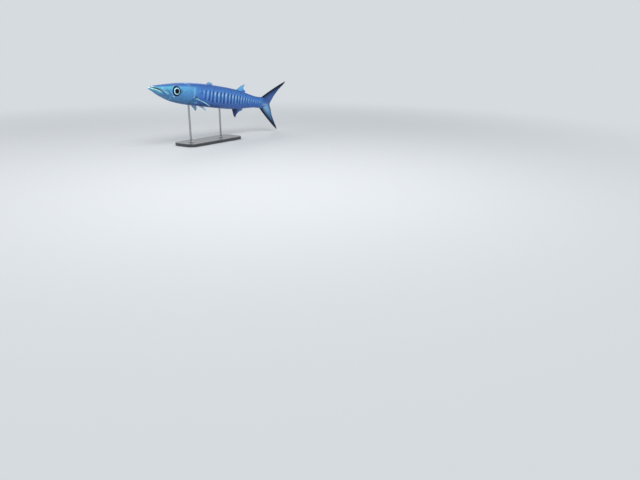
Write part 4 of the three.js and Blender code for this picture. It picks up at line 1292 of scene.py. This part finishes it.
# Teeth, small and pointed, in both jaws where the mouth stands open. Their points curve back by so many
# millimetres.
TEETH = {"first": 0.022, "last": 0.08, "count": 9, "radius": 0.75 * MM, "inset": 2.6 * MM, "sunk": 1.8 * MM,
         "reach": 0.6, "curve": 0.6, "around": 8, "rings": 5}
TOOTH_LENGTHS = [1, 0.7, 0.85]


def tooth(side, direction, number):
    """The points of one tooth's rings. Direction is 1 for the lower jaw, whose teeth point up."""
    step = (TEETH["last"] - TEETH["first"]) / (TEETH["count"] - 1)
    station = TEETH["first"] + (number + (0.5 if direction > 0 else 0)) * step
    half = float(gape_height_at(station)) / 2
    height = float(gape_middle_at(station)) - direction * half
    width = (float(half_width_at(station, height)) - TEETH["inset"] / STANDARD_LENGTH) * side
    length = 2 * half * STANDARD_LENGTH * TEETH["reach"] * TOOTH_LENGTHS[number % 3]
    tail, left, up = directions(station)
    root = place(station, width, height)
    points = []
    for k in range(TEETH["rings"]):
        t = k / (TEETH["rings"] - 1)
        radius = TEETH["radius"] * (1 - 0.94 * t) ** 0.8
        middle = root + up * direction * (t * (length + TEETH["sunk"]) - TEETH["sunk"])
        middle = middle + tail * (t * t * TEETH["curve"] * MM)
        for angle in np.linspace(0, 2 * math.pi, TEETH["around"], endpoint=False):
            offset = tail * math.cos(angle) * radius * 1.2 + left * math.sin(angle) * radius * 0.7
            points.append(middle + offset)
    return points


def teeth():
    points = []
    faces = []
    for side, direction, number in itertools.product((1, -1), (1, -1), range(TEETH["count"])):
        own = tube_faces(TEETH["rings"], TEETH["around"], len(points))
        points += tooth(side, direction, number)
        faces += own if direction < 0 else [face[::-1] for face in own]
    finish_piece(mesh_object("teeth", points, faces), "scaled_skin", tooth_material())


teeth()


# Stand
BASE_CORNER = 40 * MM
BASE_EDGE = 2.5 * MM
EDGE_STEPS = 6
CORNER_STEPS = 16
ROD_ROUND = 48
FLANGE_HEIGHT = 4 * MM
FLANGE_EDGE = 0.4 * MM
ROD_RADIUS = 5 * MM
ROD_INTO_BELLY = 3 * MM
# Folds sharper than so many degrees stay sharp
BASE_FOLD = 40
ROD_FOLD = 35


def lathe(profile, count):
    """Rings of points round +Z from (radius, height) pairs."""
    around = np.linspace(0, 2 * math.pi, count, endpoint=False)
    return [[(r * math.cos(a), r * math.sin(a), z) for a in around] for r, z in profile]


def ring_mesh(name, rings, fold):
    """A closed mesh through rings, sharp where it folds by more than so many degrees."""
    made = mesh_object(name, [p for ring in rings for p in ring], tube_faces(len(rings), len(rings[0])))
    made.data.set_sharp_from_angle(angle=math.radians(fold))
    return made


def base_outline(low, high, inset):
    """The base's outline with its round corners, drawn in by inset."""
    corner = BASE_CORNER - inset
    ring = []
    for turn, (x, y) in enumerate(((high.x, high.y), (low.x, high.y), (low.x, low.y), (high.x, low.y))):
        centre_x = x - math.copysign(BASE_CORNER, x)
        centre_y = y - math.copysign(BASE_CORNER, y)
        ring += [(centre_x + corner * math.cos(a + turn * math.pi / 2),
                  centre_y + corner * math.sin(a + turn * math.pi / 2))
                 for a in np.linspace(0, math.pi / 2, CORNER_STEPS)]
    return ring


def stand_base():
    """A flat base with rounded lower and upper edges."""
    low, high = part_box("stand_base")
    quarter = [math.pi / 2 * k / EDGE_STEPS for k in range(EDGE_STEPS + 1)]
    edges = [(BASE_EDGE * (1 - math.sin(a)), low.z + BASE_EDGE * (1 - math.cos(a))) for a in quarter]
    edges += [(BASE_EDGE * (1 - math.cos(a)), high.z - BASE_EDGE * (1 - math.sin(a))) for a in quarter]
    rings = [[(x, y, height) for x, y in base_outline(low, high, inset)] for inset, height in edges]
    finish_piece(ring_mesh("stand_base_plate", rings, BASE_FOLD), "stand_base", base_material(), "stand_base")


def stand_rod(node, material):
    """A round rod that rises from a small flange into the belly."""
    low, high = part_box(node)
    flange = (high.x - low.x) / 2
    centre = (low + high) / 2
    profile = [(flange - FLANGE_EDGE, low.z), (flange, low.z + FLANGE_EDGE),
               (flange, low.z + FLANGE_HEIGHT * 0.5)]
    for k in range(EDGE_STEPS + 1):
        t = k / EDGE_STEPS
        profile.append((ROD_RADIUS + (flange - ROD_RADIUS) * (1 - t) ** 2 * 0.96,
                        low.z + FLANGE_HEIGHT * (0.6 + 0.4 * t)))
    profile += [(ROD_RADIUS, low.z + FLANGE_HEIGHT * 1.05), (ROD_RADIUS, high.z + ROD_INTO_BELLY)]
    rings = [[(centre.x + x, centre.y + y, z) for x, y, z in ring] for ring in lathe(profile, ROD_ROUND)]
    finish_piece(ring_mesh(node + "_turned", rings, ROD_FOLD), "stand_rod", material, node)


steel = rod_material()
stand_base()
stand_rod("stand_rod_front", steel)
stand_rod("stand_rod_rear", steel)


# Floor, light and camera
FLOOR_RADIUS = 60
FLOOR_ROUND = 96
FLOOR_COLOUR = colour(181, 183, 185)
BACKDROP_COLOUR = colour(214, 219, 224)
FADE_START = 0.7
FADE_END = 3
LIGHT_AIM = Vector((0, 0, 0.22))
# Lights: place, size and power
LIGHTS = {
    "key": ((-1.1, -1.7, 2.1), (1.6, 1.2), 70),
    "fill": ((-2.2, 1.2, 1.4), (1.6, 1.6), 18),
    "rear": ((1.6, 1.9, 1.8), (1.6, 1.2), 14),
}
CAMERA_PLACE = (-2.2278, -2.2358, 0.4588)
CAMERA_TURN = 56.01
CAMERA_DOWN = 18.36
FOCAL_PIXELS = 560
FRAME_WIDTH = 640
SENSOR = 36


def floor():
    """A wide pale floor that fades into the backdrop's colour far from the model."""
    made = mesh_object("floor", lathe([(FLOOR_RADIUS, 0)], FLOOR_ROUND)[0], [[*range(FLOOR_ROUND)]])
    look = Look("floor")
    grain = look.levels(look.noise(40, 4), (0.3, FLOOR_COLOUR * 0.985), (0.7, FLOOR_COLOUR))
    made.data.materials.append(look.painted(Base_Color=grain, Roughness=0.75))
    length = look.node("VectorMath", "Value", {0: look.node("TexCoord", "Object")}, operation="LENGTH")
    far = look.node("MapRange", "Result", {"Value": length, "From Min": FADE_START, "From Max": FADE_END},
                    interpolation_type="SMOOTHSTEP")
    glow = look.node("Emission", "Emission", {"Color": BACKDROP_COLOUR})
    near = look.nodes["Principled BSDF"].outputs["BSDF"]
    look.put(look.nodes["Material Output"].inputs["Surface"],
             look.node("MixShader", "Shader", {"Fac": far, 1: near, 2: glow}))


def aimed(name, data, position, forward):
    """Puts a light or a camera in the scene, looking forward."""
    made = bpy.data.objects.new(name, data)
    made.location = position
    made.rotation_mode = "QUATERNION"
    made.rotation_quaternion = forward.to_track_quat("-Z", "Y")
    bpy.context.scene.collection.objects.link(made)
    return made


def area_light(name, position, size, power):
    light = bpy.data.lights.new(name, "AREA")
    light.shape = "RECTANGLE"
    light.size, light.size_y = size
    light.energy = power
    aimed(name, light, position, LIGHT_AIM - Vector(position))


def camera():
    data = bpy.data.cameras.new("camera")
    data.sensor_width = SENSOR
    data.lens = FOCAL_PIXELS / FRAME_WIDTH * SENSOR
    turn = math.radians(CAMERA_TURN)
    down = math.radians(CAMERA_DOWN)
    forward = Vector((math.sin(turn) * math.cos(down), math.cos(turn) * math.cos(down), -math.sin(down)))
    bpy.context.scene.camera = aimed("camera", data, CAMERA_PLACE, forward)


floor()
world = bpy.data.worlds.new("studio")
world.use_nodes = True
world.node_tree.nodes["Background"].inputs["Color"].default_value = (*BACKDROP_COLOUR, 1)
bpy.context.scene.world = world
bpy.context.scene.view_settings.view_transform = "Standard"
for light_name, light_settings in LIGHTS.items():
    area_light(light_name, *light_settings)
camera()
